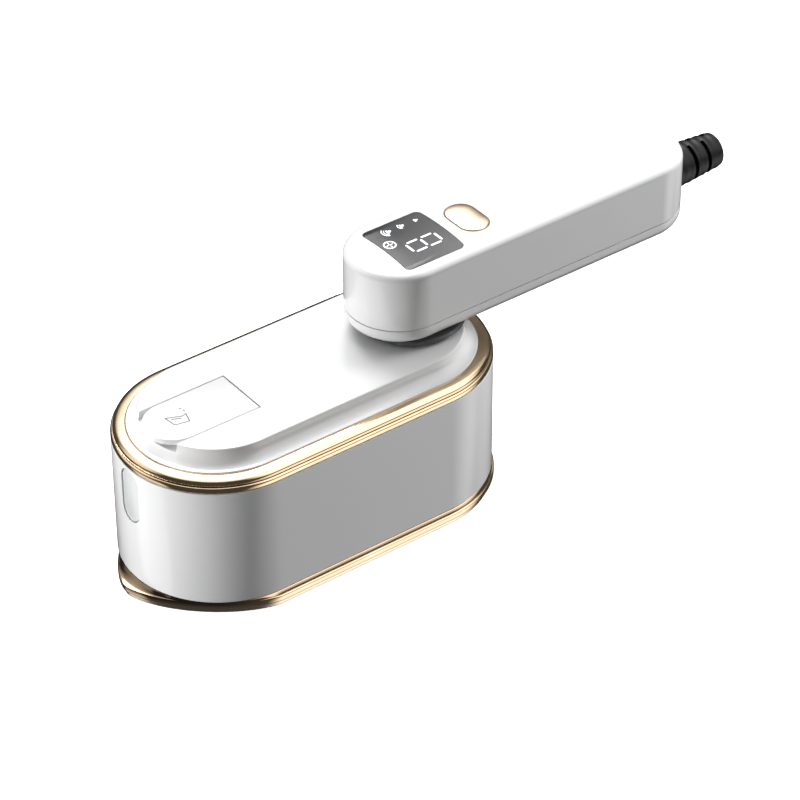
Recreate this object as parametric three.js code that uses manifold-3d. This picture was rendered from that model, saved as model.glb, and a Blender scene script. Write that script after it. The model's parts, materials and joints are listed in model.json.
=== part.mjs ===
// Travel garment steamer: a flat stadium-shaped steam head with a handle that swivels
// about an upright shaft, from straight out to folded over the head.
// Units are millimetres. +Z is up and +X runs from the head towards the opened handle.
// The origin is the centre of the soleplate's lower face.

import * as THREE from 'three';
import { mergeVertices } from 'three/addons/utils/BufferGeometryUtils.js';
import Module from 'manifold-3d';

const wasm = await Module();
wasm.setup();

// ---------------------------------------------------------------- driving dimensions

const GAP = 0.3; // clearance wherever two pieces meet
const HALF_STEPS = 12; // facets of each round end on the big shells

// Head
const HEAD_LENGTH = 140;
const HEAD_WIDTH = 70;
const SHELL_HEIGHT = 44.8;
const SHELL_WALL = 2.5;
const SOLE_THICKNESS = 2;
const SOLE_INSET = 0.35; // the sole sits this far inside the shell's outline
const NOSE_REACH = 3.4; // how far the sole's tip stands ahead of the round end
const NOSE_SHARPNESS = 7; // power of the cosine that shapes the nose
const SOLE_EDGE = 0.6;
const SKIRT_LIP_HEIGHT = 2.3;
const SKIRT_HEIGHT = 4;
const SKIRT_FLARE = 0.8; // the skirt's lip stands out past the shell
const SKIRT_WALL = 5.8;
const SKIRT_EDGE = 0.5;
const BAND_HEIGHT = 2.1;
const BAND_WALL = 4.9;
const RING_HEIGHT = 2.2;
const RING_STEP = 0.6; // crease between the band and the ring above it
const COVER_RISE = 6; // from the ring's inner edge to the flat top
const COVER_SLOPE = 4.6; // how far the sloping shoulder runs inwards
const COVER_SKIRT = 4.3; // the cover's hidden rim reaches this far below the ring's top
const COVER_WALL = 2.2;
const COVER_EDGE = 0.6;
const COVER_POST_RISE = 1.9; // top of the screw posts above the ring
const COVER_SCREW_INSET = 6.1; // from the cover's edge to its screws
const COVER_SCREW_TURN = 27.6; // degrees either side of the long axis
const COVER_SCREW_LENGTH = 14;

// Steam chamber and heater
const CHAMBER_INSET = 8; // between the shell's outline and the casting
const CHAMBER_HEIGHT = 7.8;
const CAVITY_WALL = 1.6; // between the cavity and the screws' counterbores
const CAVITY_DEPTH = 3.3;
const GASKET_HEIGHT = 0.6;
const GASKET_WIDTH = 2.4;
const HEATER_RADIUS = 2.6;
const HEATER_TO_SCREW = 8.4; // from the element's legs to the side screws
const HEATER_OVERRUN = 5; // the legs run this far past the round end's centre
const HEATER_TAIL = 5; // height of the upturned ends
const STEAM_HOLE_RADIUS = 1.3;
const STEAM_HOLE_INSET = 3.5; // from the cavity's wall to the holes' centres
const HEATER_DROP = 0.4; // the element's axis lies this far below the chamber's top
const CHAMBER_COUNTERBORE = 2.5;
const NOZZLE_X = 9;
const NOZZLE_HEIGHT = 4.6;
const NOZZLE_FLANGE = 3.6;
const NOZZLE_FLANGE_HEIGHT = 1.2;
const THERMOSTAT_X = -6;
const THERMOSTAT_RADIUS = 7;
const THERMOSTAT_HEIGHT = 4.6;
const THERMOSTAT_TAB_SPAN = 18;
const FUSE_X = -29;
const FUSE_LENGTH = 14;
const FUSE_RADIUS = 1.9;
const SHIELD_RISE = 5.5; // from the chamber's top to the heat shield
const SHIELD_THICKNESS = 1.2;
const SHIELD_CLEARANCE = 1.4;
const PASSAGE_RADIUS = 4.2; // holes for the hose and the wires
const DECK_RISE = 14.9; // from the shell's lower edge to its inner floor
const DECK_THICKNESS = 2;
const DECK_BOSS_HEIGHT = 2.5;
const CHAMBER_SCREW_EDGE = 4.6; // from the casting's edge to its screws

// Water tank
const TANK_CLEARANCE = 1;
const TANK_WALL = 1.6;
const TANK_FLOOR_GAP = 1.2; // above the deck's bosses
const TANK_END_X = 2; // the tank's flat end wall
const TANK_LID_THICKNESS = 1.5;
const NECK_RADIUS = 7.6;
const NECK_WALL = 1.5;
const TANK_SEAL_HEIGHT = 1.8;
const TANK_SEAL_WIDTH = 1.4;
const TANK_NIPPLE_Y = -20;
const TANK_NIPPLE_RISE = 4.3; // above the tank's underside
const FILLER_SEAL_HEIGHT = 1;
const WINDOW_WIDTH = 8.8;
const WINDOW_HEIGHT = 20.1;
const WINDOW_FROM_TOP = 1.1;
const WINDOW_INSET = 0.4;

// Filler flap
const FLAP_SETBACK = 8; // from the shell's -X end to the flap's tip
const FLAP_LENGTH = 36.5;
const FLAP_WIDTH = 21;
const FLAP_THICKNESS = 2.1;
const FLAP_PROUD = 0.1; // the flap's face stands this far above the top
const POCKET_MARGIN = 0.4; // between the flap's edge and its pocket
const POCKET_DEPTH = 3;
const POCKET_FLOOR = 2.5;
const POCKET_WALL = 3; // material round the pocket
const PIN_OVERHANG = 2; // the pin stands this far out of the flap each side
const HINGE_PIN_RADIUS = 0.7;
const BARREL_RADIUS = 1.7; // the flap's hinge barrel
const HINGE_SETBACK = 1.3; // pin's distance in front of the flap's straight edge
const PLUG_DEPTH = 4.4;
const PLUG_TAPER = 1;
const PLUG_CLEARANCE = 0.5;
const FILL_FROM_REAR = 24.5; // from the flap's straight edge to the fill port's centre

// Pump
const PUMP_X = 24;
const PUMP_RISE = 12; // from the shell's floor to the pump's axis
const PUMP_TUBE_RADIUS = 5;
const PUMP_BORE = 3.7;
const PUMP_TUBE_LENGTH = 34;
const PUMP_NIPPLE_LENGTH = 5;
const PUMP_NIPPLE_RADIUS = 2.2;
const NIPPLE_BORE = 1.1;
const COIL_LENGTH = 17;
const COIL_SIZE = 18;
const PLUNGER_LENGTH = 15;
const PLUNGER_STROKE = 2;
const VALVE_BALL_RADIUS = 1.6;
const VALVE_CHAMBER = 6.3; // from the valve's seat to the tube's end
const SEAT_HEIGHT = 1.2;
const CAP_FLANGE = 1.5;
const YOKE_WALL = 1.2;
const PLUNGER_Z = -11;
const SPRING_WIRE = 0.3;
const HOSE_RADIUS = 2.1;
const HOSE_WALL_CLEARANCE = 1.8;
const HOSE_APPROACH = 18.6; // beside the nozzle, where the hose turns towards it
const HARNESS_RADIUS = 1.5;

// Swivel
const PIVOT_FROM_END = 25.8; // from the head's +X end to the swivel's axis
const SHAFT_RADIUS = 8;
const SHAFT_BORE = 5.2;
const SHAFT_LENGTH = 22;
const SHAFT_FLANGE = 12;
const SHAFT_FLANGE_HEIGHT = 1.8;
const BUSH_WALL = 2.7;
const BUSH_LENGTH = 12;
const BUSH_FLANGE = 2;
const BUSH_FLANGE_HEIGHT = 1.5;
const WASHER_HEIGHT = 1;
const CLIP_HEIGHT = 0.8;
const CLIP_BITE = 0.8; // depth of the clip's groove
const CLIP_MOUTH = 7;
const COLLAR_RADIUS = 18.4;
const COLLAR_HEIGHT = 2.6;

// Handle, measured from the swivel's axis
const HANDLE_LENGTH = 136;
const HANDLE_WIDTH = 37;
const HANDLE_OVERHANG = 23.7; // from the axis to the handle's near end
const HANDLE_WALL = 2;
const LOWER_HEIGHT = 6;
const LOWER_ROUND = 4.5;
const UPPER_HEIGHT = 21.3;
const UPPER_ROUND = 2.4;
const DISPLAY_X = 0.9;
const DISPLAY_LENGTH = 24;
const DISPLAY_WIDTH = 26.4;
const DISPLAY_BOW = 0.9; // how far the display's two ends bow away from the axis
const DISPLAY_THICKNESS = 1.1;
const DISPLAY_CORNER = 2.2;
const DISPLAY_LEDGE = 1.5;
const MODULE_MARGIN = 6.4;
const BUTTON_X = 23.3;
const BUTTON_LENGTH = 17.6;
const BUTTON_WIDTH = 11;
const BUTTON_PROUD = 0.9;
const BUTTON_TRAVEL = 0.8;
const BUTTON_FLANGE = 1.2;
const BUTTON_FLANGE_HEIGHT = 1.4;
const BUTTON_EDGE = 0.4;
const BUTTON_SPRING_RADIUS = 3.2;
const SWITCH_SIZE = 6;
const SWITCH_HEIGHT = 3.5;
const SWITCH_WELL = 2;
const SWITCH_STEM = 1.6;
const PLUNGER_RADIUS = 1.7;
const BOARD_THICKNESS = 1.6;
const BOARD_HEIGHT = 12; // from the lower cover's inner floor to the board
const BOARD_MARGIN = 3; // between the board's edge and the casing's inner wall
const NEAR_SCREW_INSET = 6.5; // from the handle's near end
const MIDDLE_SCREW_X = 42;
const FAR_SCREW_INSET = 28.3; // from the handle's far end
const HANDLE_SCREW_LENGTH = 14;
const HANDLE_COUNTERBORE = 3;
const HANDLE_BOSS_RADIUS = 4.7;
const BOARD_POST_Y = 9;
const BOARD_POST_RADIUS = 2;

// Cord outlet
const BOOT_LENGTH = 20.4;
const BOOT_RADIUS = 7.6;
const BOOT_TIP_RADIUS = 6.4;
const BOOT_BORE = 3.6;
const BOOT_NECK = 5;
const BOOT_RISE = 6.2; // from the upper shell's lower edge to the cord's axis
const BOOT_RIBS = 5;
const BOOT_SLOT = 1.6;
const BOOT_CORE = 5; // radius left behind the slots
const BOOT_WEB = 2.4; // width of the webs between the two rows of slots
const BOOT_END_RIB = 2.4;
const BOOT_EDGE = 1;
const BOOT_FLANGE = 6.6;
const BOOT_FLANGE_WIDTH = 1.8;
const CORD_WALL_DEPTH = 4.4; // clears the casing's curved end from inside
const CLAMP_INSET = 20.3; // from the handle's far end
const CLAMP_WIDTH = 6.4;
const CLAMP_SPREAD = 7;
const CLAMP_SEAT = 0.4;
const CLAMP_HEIGHT = 4.2;
const CLAMP_SCREW_LENGTH = 7;

// Screws
const SCREW_RADIUS = 1.4;
const SCREW_HEAD = 2.8;
const SCREW_HEAD_HEIGHT = 1.8;
const BOSS_WALL = 1.9;

// ---------------------------------------------------------------- derived heights

const HEAD_RADIUS = HEAD_WIDTH / 2;
const HEAD_HALF = (HEAD_LENGTH - HEAD_WIDTH) / 2; // from the middle to each round end's centre
const SHELL_INNER = HEAD_RADIUS - SHELL_WALL;
const SKIRT_Z = SOLE_THICKNESS + GAP;
const SHELL_Z = SKIRT_Z + SKIRT_HEIGHT + GAP;
const SHELL_TOP = SHELL_Z + SHELL_HEIGHT;
const BAND_Z = SHELL_TOP + GAP;
const RING_Z = BAND_Z + BAND_HEIGHT + GAP;
const RING_TOP = RING_Z + RING_HEIGHT;
const RING_INNER = HEAD_RADIUS - BAND_WALL;
const COVER_RADIUS = RING_INNER - GAP;
const COVER_Z = RING_TOP - COVER_SKIRT;
const TOP_Z = RING_TOP + COVER_RISE; // the head's flat top
const PLATEAU_RADIUS = COVER_RADIUS - COVER_SLOPE;

const CHAMBER_RADIUS = HEAD_RADIUS - CHAMBER_INSET;
const CHAMBER_SCREW_X = HEAD_HALF + CHAMBER_RADIUS - CHAMBER_SCREW_EDGE;
const CHAMBER_SCREW_Y = CHAMBER_RADIUS - CHAMBER_SCREW_EDGE;
const CAVITY_RADIUS = CHAMBER_SCREW_Y - SCREW_HEAD - CAVITY_WALL;
const STEAM_HOLE_RING = CAVITY_RADIUS - STEAM_HOLE_INSET;
const HEATER_BEND = CHAMBER_SCREW_Y - HEATER_TO_SCREW;
const HEATER_REACH = HEAD_HALF + HEATER_OVERRUN;
const COVER_SCREW_RING = COVER_RADIUS - COVER_SCREW_INSET;
const COVER_SCREW_ANGLE = THREE.MathUtils.degToRad(COVER_SCREW_TURN);
const COVER_SCREW_X = HEAD_HALF + COVER_SCREW_RING * Math.cos(COVER_SCREW_ANGLE);
const COVER_SCREW_Y = COVER_SCREW_RING * Math.sin(COVER_SCREW_ANGLE);
const GASKET_Z = SOLE_THICKNESS + GAP;
const CHAMBER_Z = GASKET_Z + GASKET_HEIGHT + GAP;
const CHAMBER_TOP = CHAMBER_Z + CHAMBER_HEIGHT;
const SHIELD_Z = CHAMBER_TOP + SHIELD_RISE;
const DECK_Z = SHELL_Z + DECK_RISE;
const DECK_TOP = DECK_Z + DECK_THICKNESS;
const TANK_Z = DECK_TOP + DECK_BOSS_HEIGHT + TANK_FLOOR_GAP;
const TANK_NIPPLE_Z = TANK_Z + TANK_NIPPLE_RISE;
const PUMP_Z = DECK_TOP + PUMP_RISE;
const TANK_RADIUS = SHELL_INNER - TANK_CLEARANCE;
const LID_Z = COVER_Z - GAP - TANK_LID_THICKNESS;
const TANK_TOP = LID_Z - GAP;

const FLAP_REAR_X = FLAP_SETBACK + FLAP_LENGTH - HEAD_LENGTH / 2;
const PIN_LENGTH = FLAP_WIDTH + 2 * PIN_OVERHANG;
const FILL_X = FLAP_REAR_X - FILL_FROM_REAR;
const POCKET_Z = TOP_Z - POCKET_DEPTH;
const FLAP_Z = TOP_Z + FLAP_PROUD - FLAP_THICKNESS;
const HINGE_X = FLAP_REAR_X - HINGE_SETBACK;
const HINGE_Z = TOP_Z + FLAP_PROUD - BARREL_RADIUS;

const PIVOT_X = HEAD_LENGTH / 2 - PIVOT_FROM_END;
const COLLAR_Z = TOP_Z + GAP;
const LOWER_Z = COLLAR_Z + COLLAR_HEIGHT + GAP;
const LOWER_FLOOR = LOWER_Z + HANDLE_WALL;
const UPPER_Z = LOWER_Z + LOWER_HEIGHT + GAP;
const UPPER_TOP = UPPER_Z + UPPER_HEIGHT;
const UPPER_CEILING = UPPER_TOP - HANDLE_WALL;
const BOOT_Z = UPPER_Z + BOOT_RISE;
const HANDLE_RADIUS = HANDLE_WIDTH / 2;
const HANDLE_HALF = HANDLE_LENGTH / 2 - HANDLE_RADIUS;
const HANDLE_MID = HANDLE_LENGTH / 2 - HANDLE_OVERHANG;
const HANDLE_INNER = HANDLE_RADIUS - HANDLE_WALL;
const HANDLE_END = HANDLE_LENGTH - HANDLE_OVERHANG; // the far end, where the cord leaves
const CLAMP_X = HANDLE_END - CLAMP_INSET;
const HANDLE_SCREWS_X = [
  NEAR_SCREW_INSET - HANDLE_OVERHANG,
  MIDDLE_SCREW_X,
  HANDLE_END - FAR_SCREW_INSET,
];
const BOARD_Z = LOWER_FLOOR + BOARD_HEIGHT;
const BOARD_TOP = BOARD_Z + BOARD_THICKNESS;
const SHAFT_TOP = LOWER_FLOOR + GAP;
const SHAFT_Z = SHAFT_TOP - SHAFT_LENGTH;
const BUSH_TOP = COLLAR_Z - GAP;
const BUSH_Z = BUSH_TOP - BUSH_LENGTH;

// ---------------------------------------------------------------- finishes

const WHITE = { color: 0xf4f4f2, roughness: 0.18, metalness: 0 };
const GOLD = { color: 0xd9b48a, roughness: 0.15, metalness: 1 };
const SOLE_METAL = { color: 0xe6d3b8, roughness: 0.25, metalness: 1 };
const CAST = { color: 0x9a9b9d, roughness: 0.55, metalness: 0.9 };
const STEEL = { color: 0xb9bcc0, roughness: 0.3, metalness: 1 };
const COPPER = { color: 0xb5652f, roughness: 0.4, metalness: 0.8 };
const DARK_GREY = { color: 0x3a3b3d, roughness: 0.5, metalness: 0 };
const BLACK = { color: 0x141414, roughness: 0.6, metalness: 0 };
const SILICONE = { color: 0xd8d6d0, roughness: 0.7, metalness: 0 };
const CLEAR = { color: 0xdfe6ea, roughness: 0.08, metalness: 0, transparent: true, opacity: 0.4 };
const BOARD_GREEN = { color: 0x1f5a3c, roughness: 0.5, metalness: 0 };
const ACETAL = { color: 0xe9e6dc, roughness: 0.45, metalness: 0 };

// ---------------------------------------------------------------- shapes

// Points round a stadium, anticlockwise, with an optional blunt nose on its -X end.
function stadium(half, radius, nose = 0, steps = HALF_STEPS) {
  const points = [];
  for (const side of [1, -1])
    for (let i = 0; i <= steps; i++) {
      const angle = (i / steps - 0.5) * Math.PI;
      const reach = side < 0 ? nose * Math.cos(angle) ** NOSE_SHARPNESS : 0;
      const x = side * (half + radius * Math.cos(angle) + reach);
      points.push(new THREE.Vector2(x, side * radius * Math.sin(angle)));
    }
  return points;
}

const headOutline = (radius) => stadium(HEAD_HALF, radius);
const soleOutline = (radius) => stadium(HEAD_HALF, radius, NOSE_REACH);

// The handle's outline, measured from the swivel's axis.
const handleOutline = (radius) =>
  stadium(HANDLE_HALF, radius).map((p) => new THREE.Vector2(p.x + HANDLE_MID, p.y));

// A flat end at endX, straight sides, and a round -X end about centreX.
function roundEnded(endX, centreX, radius, steps = HALF_STEPS) {
  const points = [new THREE.Vector2(endX, -radius), new THREE.Vector2(endX, radius)];
  for (let i = 0; i <= steps; i++) {
    const angle = (0.5 + i / steps) * Math.PI;
    const x = centreX + radius * Math.cos(angle);
    points.push(new THREE.Vector2(x, radius * Math.sin(angle)));
  }
  return points;
}

// A closed solid through a stack of outlines, each given as [points, z].
function loft(...sections) {
  const count = sections[0][0].length;
  const position = sections.flatMap(([points, z]) => points.flatMap((p) => [p.x, p.y, z]));
  const index = [];
  for (let s = 0; s + 1 < sections.length; s++)
    for (let i = 0; i < count; i++) {
      const a = s * count + i;
      const b = s * count + ((i + 1) % count);
      index.push(a, b, b + count, a, b + count, a + count);
    }
  const top = (sections.length - 1) * count;
  for (const [i, j, k] of THREE.ShapeUtils.triangulateShape(sections[0][0], []))
    index.push(i, k, j, top + i, top + j, top + k);
  const geometry = new THREE.BufferGeometry();
  geometry.setAttribute('position', new THREE.Float32BufferAttribute(position, 3));
  return geometry.setIndex(index);
}

const prism = (points, z, height) => loft([points, z], [points, z + height]);

const block = (x, y, z, place = [0, 0, 0]) =>
  new THREE.BoxGeometry(x, y, z).translate(place[0], place[1], place[2] + z / 2);

// An upright round bar, or a cone where its tip's radius differs.
const disc = (radius, z, height, x = 0, y = 0, steps = 12, tip = radius) =>
  new THREE.CylinderGeometry(tip, radius, height, steps)
    .rotateX(Math.PI / 2)
    .translate(x, y, z + height / 2);

const barAlongY = (radius, length, x = 0, z = 0, steps = 12) =>
  new THREE.CylinderGeometry(radius, radius, length, steps).translate(x, 0, z);

const barAlongX = (radius, x, length, y = 0, z = 0, steps = 12) =>
  new THREE.CylinderGeometry(radius, radius, length, steps)
    .rotateZ(-Math.PI / 2)
    .translate(x + length / 2, y, z);

// A body of revolution about Z. A profile of [radius, z] pairs runs anticlockwise,
// and closes on itself unless it starts on the axis.
function lathe(profile, steps = 16) {
  const closed = profile[0][0] > 0 ? [...profile, profile[0]] : profile;
  const points = closed.map(([radius, z]) => new THREE.Vector2(radius, z));
  return new THREE.LatheGeometry(points, steps).rotateX(Math.PI / 2);
}

const tube = (inner, outer, z, height, steps = 16) =>
  lathe([[inner, z], [outer, z], [outer, z + height], [inner, z + height]], steps);

function sweep(curve, radius, steps, sides = 8) {
  const round = Array.from({ length: sides }, (_, i) => {
    const angle = (i / sides) * 2 * Math.PI;
    return new THREE.Vector2(radius * Math.cos(angle), radius * Math.sin(angle));
  });
  return new THREE.ExtrudeGeometry(new THREE.Shape(round), { steps, extrudePath: curve });
}

const hose = (points, radius, steps = 20) =>
  sweep(new THREE.CatmullRomCurve3(points.map((p) => new THREE.Vector3(...p))), radius, steps);

class Helix extends THREE.Curve {
  constructor(radius, z, height, turns) {
    super();
    Object.assign(this, { radius, z, height, turns });
  }
  getPoint(t, target = new THREE.Vector3()) {
    const angle = t * this.turns * 2 * Math.PI;
    const [x, y] = [this.radius * Math.cos(angle), this.radius * Math.sin(angle)];
    return target.set(x, y, this.z + t * this.height);
  }
}

const spring = (radius, wire, z, height, turns) =>
  sweep(new Helix(radius, z + wire, height - 2 * wire, turns), wire, turns * 8, 5);

// A screw whose head stands on z = 0 with its shank below.
const screw = (length) =>
  lathe(
    [
      [0, -length],
      [SCREW_RADIUS, -length],
      [SCREW_RADIUS, 0],
      [SCREW_HEAD, 0],
      [SCREW_HEAD, SCREW_HEAD_HEIGHT],
      [0, SCREW_HEAD_HEIGHT],
    ],
    10,
  );

// ---------------------------------------------------------------- joining and cutting

function solidOf(geometry) {
  const bare = new THREE.BufferGeometry().setAttribute('position', geometry.attributes.position);
  if (geometry.index) bare.setIndex(geometry.index);
  const merged = mergeVertices(bare, 1e-4);
  const triVerts = [];
  for (let i = 0; i < merged.index.count; i += 3) {
    const [a, b, c] = [0, 1, 2].map((n) => merged.index.getX(i + n));
    if (a !== b && b !== c && c !== a) triVerts.push(a, b, c);
  }
  const vertProperties = merged.attributes.position.array;
  const mesh = { numProp: 3, vertProperties, triVerts: new Uint32Array(triVerts) };
  return new wasm.Manifold(new wasm.Mesh(mesh));
}

function geometryOf(solid) {
  const { vertProperties, triVerts } = solid.getMesh();
  const geometry = new THREE.BufferGeometry();
  geometry.setAttribute('position', new THREE.Float32BufferAttribute(vertProperties, 3));
  geometry.setIndex(new THREE.Uint32BufferAttribute(triVerts, 1));
  return geometry;
}

const cut = (body, ...tools) =>
  geometryOf(tools.map(solidOf).reduce((whole, tool) => whole.subtract(tool), solidOf(body)));

const join = (body, ...others) =>
  geometryOf(others.map(solidOf).reduce((whole, other) => whole.add(other), solidOf(body)));

const common = (body, other) => geometryOf(solidOf(body).intersect(solidOf(other)));

// ---------------------------------------------------------------- assembly

const steamer = new THREE.Group();
const flapGroup = new THREE.Group();
const pumpGroup = new THREE.Group();
const handleGroup = new THREE.Group();
flapGroup.position.set(HINGE_X, 0, HINGE_Z);
pumpGroup.position.set(PUMP_X, 0, PUMP_Z);
pumpGroup.rotation.x = -Math.PI / 2; // the pump is drawn upright and lies along Y
handleGroup.position.set(PIVOT_X, 0, 0);
steamer.add(flapGroup, pumpGroup, handleGroup);

function place(group, name, geometry, finish, position = [0, 0, 0]) {
  if (!geometry.attributes.normal) geometry.computeVertexNormals();
  const mesh = new THREE.Mesh(geometry, new THREE.MeshStandardMaterial(finish));
  mesh.name = name;
  mesh.position.set(...position);
  group.add(mesh);
  return mesh;
}

// ---------------------------------------------------------------- sole

const chamberScrews = [
  [CHAMBER_SCREW_X, 0],
  [0, CHAMBER_SCREW_Y],
  [-CHAMBER_SCREW_X, 0],
  [0, -CHAMBER_SCREW_Y],
];
const screwHole = SCREW_RADIUS + GAP;
const bossRadius = screwHole + BOSS_WALL;

{
  const radius = HEAD_RADIUS - SOLE_INSET;
  const plate = loft(
    [soleOutline(radius - SOLE_EDGE), 0],
    [soleOutline(radius), SOLE_EDGE],
    [soleOutline(radius), SOLE_THICKNESS],
  );
  const holes = stadium(HEAD_HALF, STEAM_HOLE_RING, 0, 4).map((p) =>
    disc(STEAM_HOLE_RADIUS, -1, SOLE_THICKNESS + 2, p.x, p.y, 8),
  );
  for (const x of [-HEAD_HALF / 3, HEAD_HALF / 3])
    for (const y of [-STEAM_HOLE_RING, STEAM_HOLE_RING])
      holes.push(disc(STEAM_HOLE_RADIUS, -1, SOLE_THICKNESS + 2, x, y, 8));
  place(steamer, 'soleplate', cut(plate, ...holes), SOLE_METAL);
}

{
  const lip = HEAD_RADIUS + SKIRT_FLARE;
  const skirt = loft(
    [soleOutline(lip - SKIRT_EDGE), SKIRT_Z],
    [soleOutline(lip), SKIRT_Z + SKIRT_EDGE],
    [soleOutline(lip), SKIRT_Z + SKIRT_LIP_HEIGHT - SKIRT_EDGE],
    [soleOutline(lip - SKIRT_EDGE), SKIRT_Z + SKIRT_LIP_HEIGHT],
    [headOutline(HEAD_RADIUS - GAP), SKIRT_Z + SKIRT_HEIGHT],
  );
  const inside = prism(headOutline(HEAD_RADIUS - SKIRT_WALL), SKIRT_Z - 1, SKIRT_HEIGHT + 2);
  place(steamer, 'sole_skirt', cut(skirt, inside), GOLD);
}

// ---------------------------------------------------------------- steam chamber

{
  const ring = cut(
    prism(headOutline(CHAMBER_RADIUS), GASKET_Z, GASKET_HEIGHT),
    prism(headOutline(CHAMBER_RADIUS - GASKET_WIDTH), GASKET_Z - 1, GASKET_HEIGHT + 2),
  );
  place(steamer, 'chamber_gasket', ring, SILICONE);
}

// The element's legs run along X, join in a U bend at the nose and turn up at the back.
const heaterPath = (() => {
  const z = CHAMBER_TOP - HEATER_DROP;
  const leg = (side) => [
    [HEATER_REACH, side * HEATER_BEND, z + HEATER_TAIL],
    [HEATER_REACH, side * HEATER_BEND, z + HEATER_TAIL / 2],
    [HEATER_REACH - HEATER_RADIUS, side * HEATER_BEND, z],
    [0, side * HEATER_BEND, z],
    [-HEAD_HALF, side * HEATER_BEND, z],
  ];
  const bend = [0.25, 0.5, 0.75].map((t) => {
    const angle = (0.5 + t) * Math.PI;
    const x = -HEAD_HALF + HEATER_BEND * Math.cos(angle);
    return [x, HEATER_BEND * Math.sin(angle), z];
  });
  const points = [...leg(1), ...bend, ...leg(-1).reverse()];
  return new THREE.CatmullRomCurve3(points.map((p) => new THREE.Vector3(...p)));
})();

{
  const body = prism(headOutline(CHAMBER_RADIUS), CHAMBER_Z, CHAMBER_HEIGHT);
  const bosses = chamberScrews.map(([x, y]) =>
    disc(bossRadius, CHAMBER_TOP - 1, SHIELD_RISE + 1 - GAP, x, y),
  );
  const holes = chamberScrews.flatMap(([x, y]) => [
    disc(screwHole, CHAMBER_Z - 1, SHIELD_Z - CHAMBER_Z + 2, x, y, 8),
    disc(SCREW_HEAD + GAP, CHAMBER_Z - 1, CHAMBER_COUNTERBORE + 1, x, y),
  ]);
  const cavity = prism(headOutline(CAVITY_RADIUS), CHAMBER_Z - 1, CAVITY_DEPTH + 1);
  const groove = sweep(heaterPath, HEATER_RADIUS + GAP, 36);
  const inlet = disc(NIPPLE_BORE, CHAMBER_Z, CHAMBER_HEIGHT + 1, NOZZLE_X, 0, 10);
  const chamber = cut(join(body, ...bosses), cavity, groove, inlet, ...holes);
  place(steamer, 'steam_chamber', chamber, CAST);
}

place(steamer, 'heater_element', sweep(heaterPath, HEATER_RADIUS, 36), STEEL);

chamberScrews.forEach(([x, y], i) => {
  const z = CHAMBER_Z + CHAMBER_COUNTERBORE - GAP;
  const length = DECK_TOP + DECK_BOSS_HEIGHT - 1 - z;
  const mesh = place(steamer, `chamber_screw_${i + 1}`, screw(length), STEEL, [x, y, z]);
  mesh.rotation.x = Math.PI; // driven from below, before the soleplate goes on
});

{
  const z = CHAMBER_TOP + GAP;
  const nozzle = lathe([
    [NIPPLE_BORE, z],
    [NOZZLE_FLANGE, z],
    [NOZZLE_FLANGE, z + NOZZLE_FLANGE_HEIGHT],
    [PUMP_NIPPLE_RADIUS, z + NOZZLE_FLANGE_HEIGHT],
    [PUMP_NIPPLE_RADIUS, z + NOZZLE_HEIGHT],
    [NIPPLE_BORE, z + NOZZLE_HEIGHT],
  ]);
  place(steamer, 'steam_inlet_nozzle', nozzle, STEEL, [NOZZLE_X, 0, 0]);

  const tabs = block(THERMOSTAT_TAB_SPAN, 2, 0.8, [0, 0, THERMOSTAT_HEIGHT - 1.5]);
  const thermostat = join(disc(THERMOSTAT_RADIUS, 0, THERMOSTAT_HEIGHT, 0, 0, 20), tabs);
  place(steamer, 'thermostat', thermostat, BLACK, [THERMOSTAT_X, 0, z]);

  const fuse = barAlongX(FUSE_RADIUS, -FUSE_LENGTH / 2, FUSE_LENGTH, 0, FUSE_RADIUS, 12);
  place(steamer, 'thermal_fuse', fuse, ACETAL, [FUSE_X, 0, z]);
}

// ---------------------------------------------------------------- side shell and shield

const hosePassage = [NOZZLE_X, 0];
const wirePassages = [[HEATER_REACH, HEATER_BEND], [HEATER_REACH, -HEATER_BEND]];
const coverScrews = [1, -1].map((side) => [COVER_SCREW_X, side * COVER_SCREW_Y]);

{
  const passages = [hosePassage, ...wirePassages].map(([x, y]) =>
    disc(PASSAGE_RADIUS, SHIELD_Z - 1, SHIELD_THICKNESS + 2, x, y),
  );
  const screwHoles = chamberScrews.map(([x, y]) =>
    disc(screwHole, SHIELD_Z - 1, SHIELD_THICKNESS + 2, x, y, 8),
  );
  const outline = headOutline(SHELL_INNER - SHIELD_CLEARANCE);
  const plate = prism(outline, SHIELD_Z, SHIELD_THICKNESS);
  place(steamer, 'heat_shield', cut(plate, ...passages, ...screwHoles), STEEL);
}

// An upright stadium that cuts through the -X wall; grow widens it all round.
function windowTool(grow) {
  const radius = WINDOW_WIDTH / 2 + grow;
  const outline = stadium((WINDOW_HEIGHT - WINDOW_WIDTH) / 2, radius, 0, 8);
  const z = SHELL_TOP - WINDOW_FROM_TOP - WINDOW_HEIGHT / 2;
  return prism(outline, SHELL_INNER, HEAD_LENGTH / 2).rotateY(-Math.PI / 2).translate(0, 0, z);
}

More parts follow.
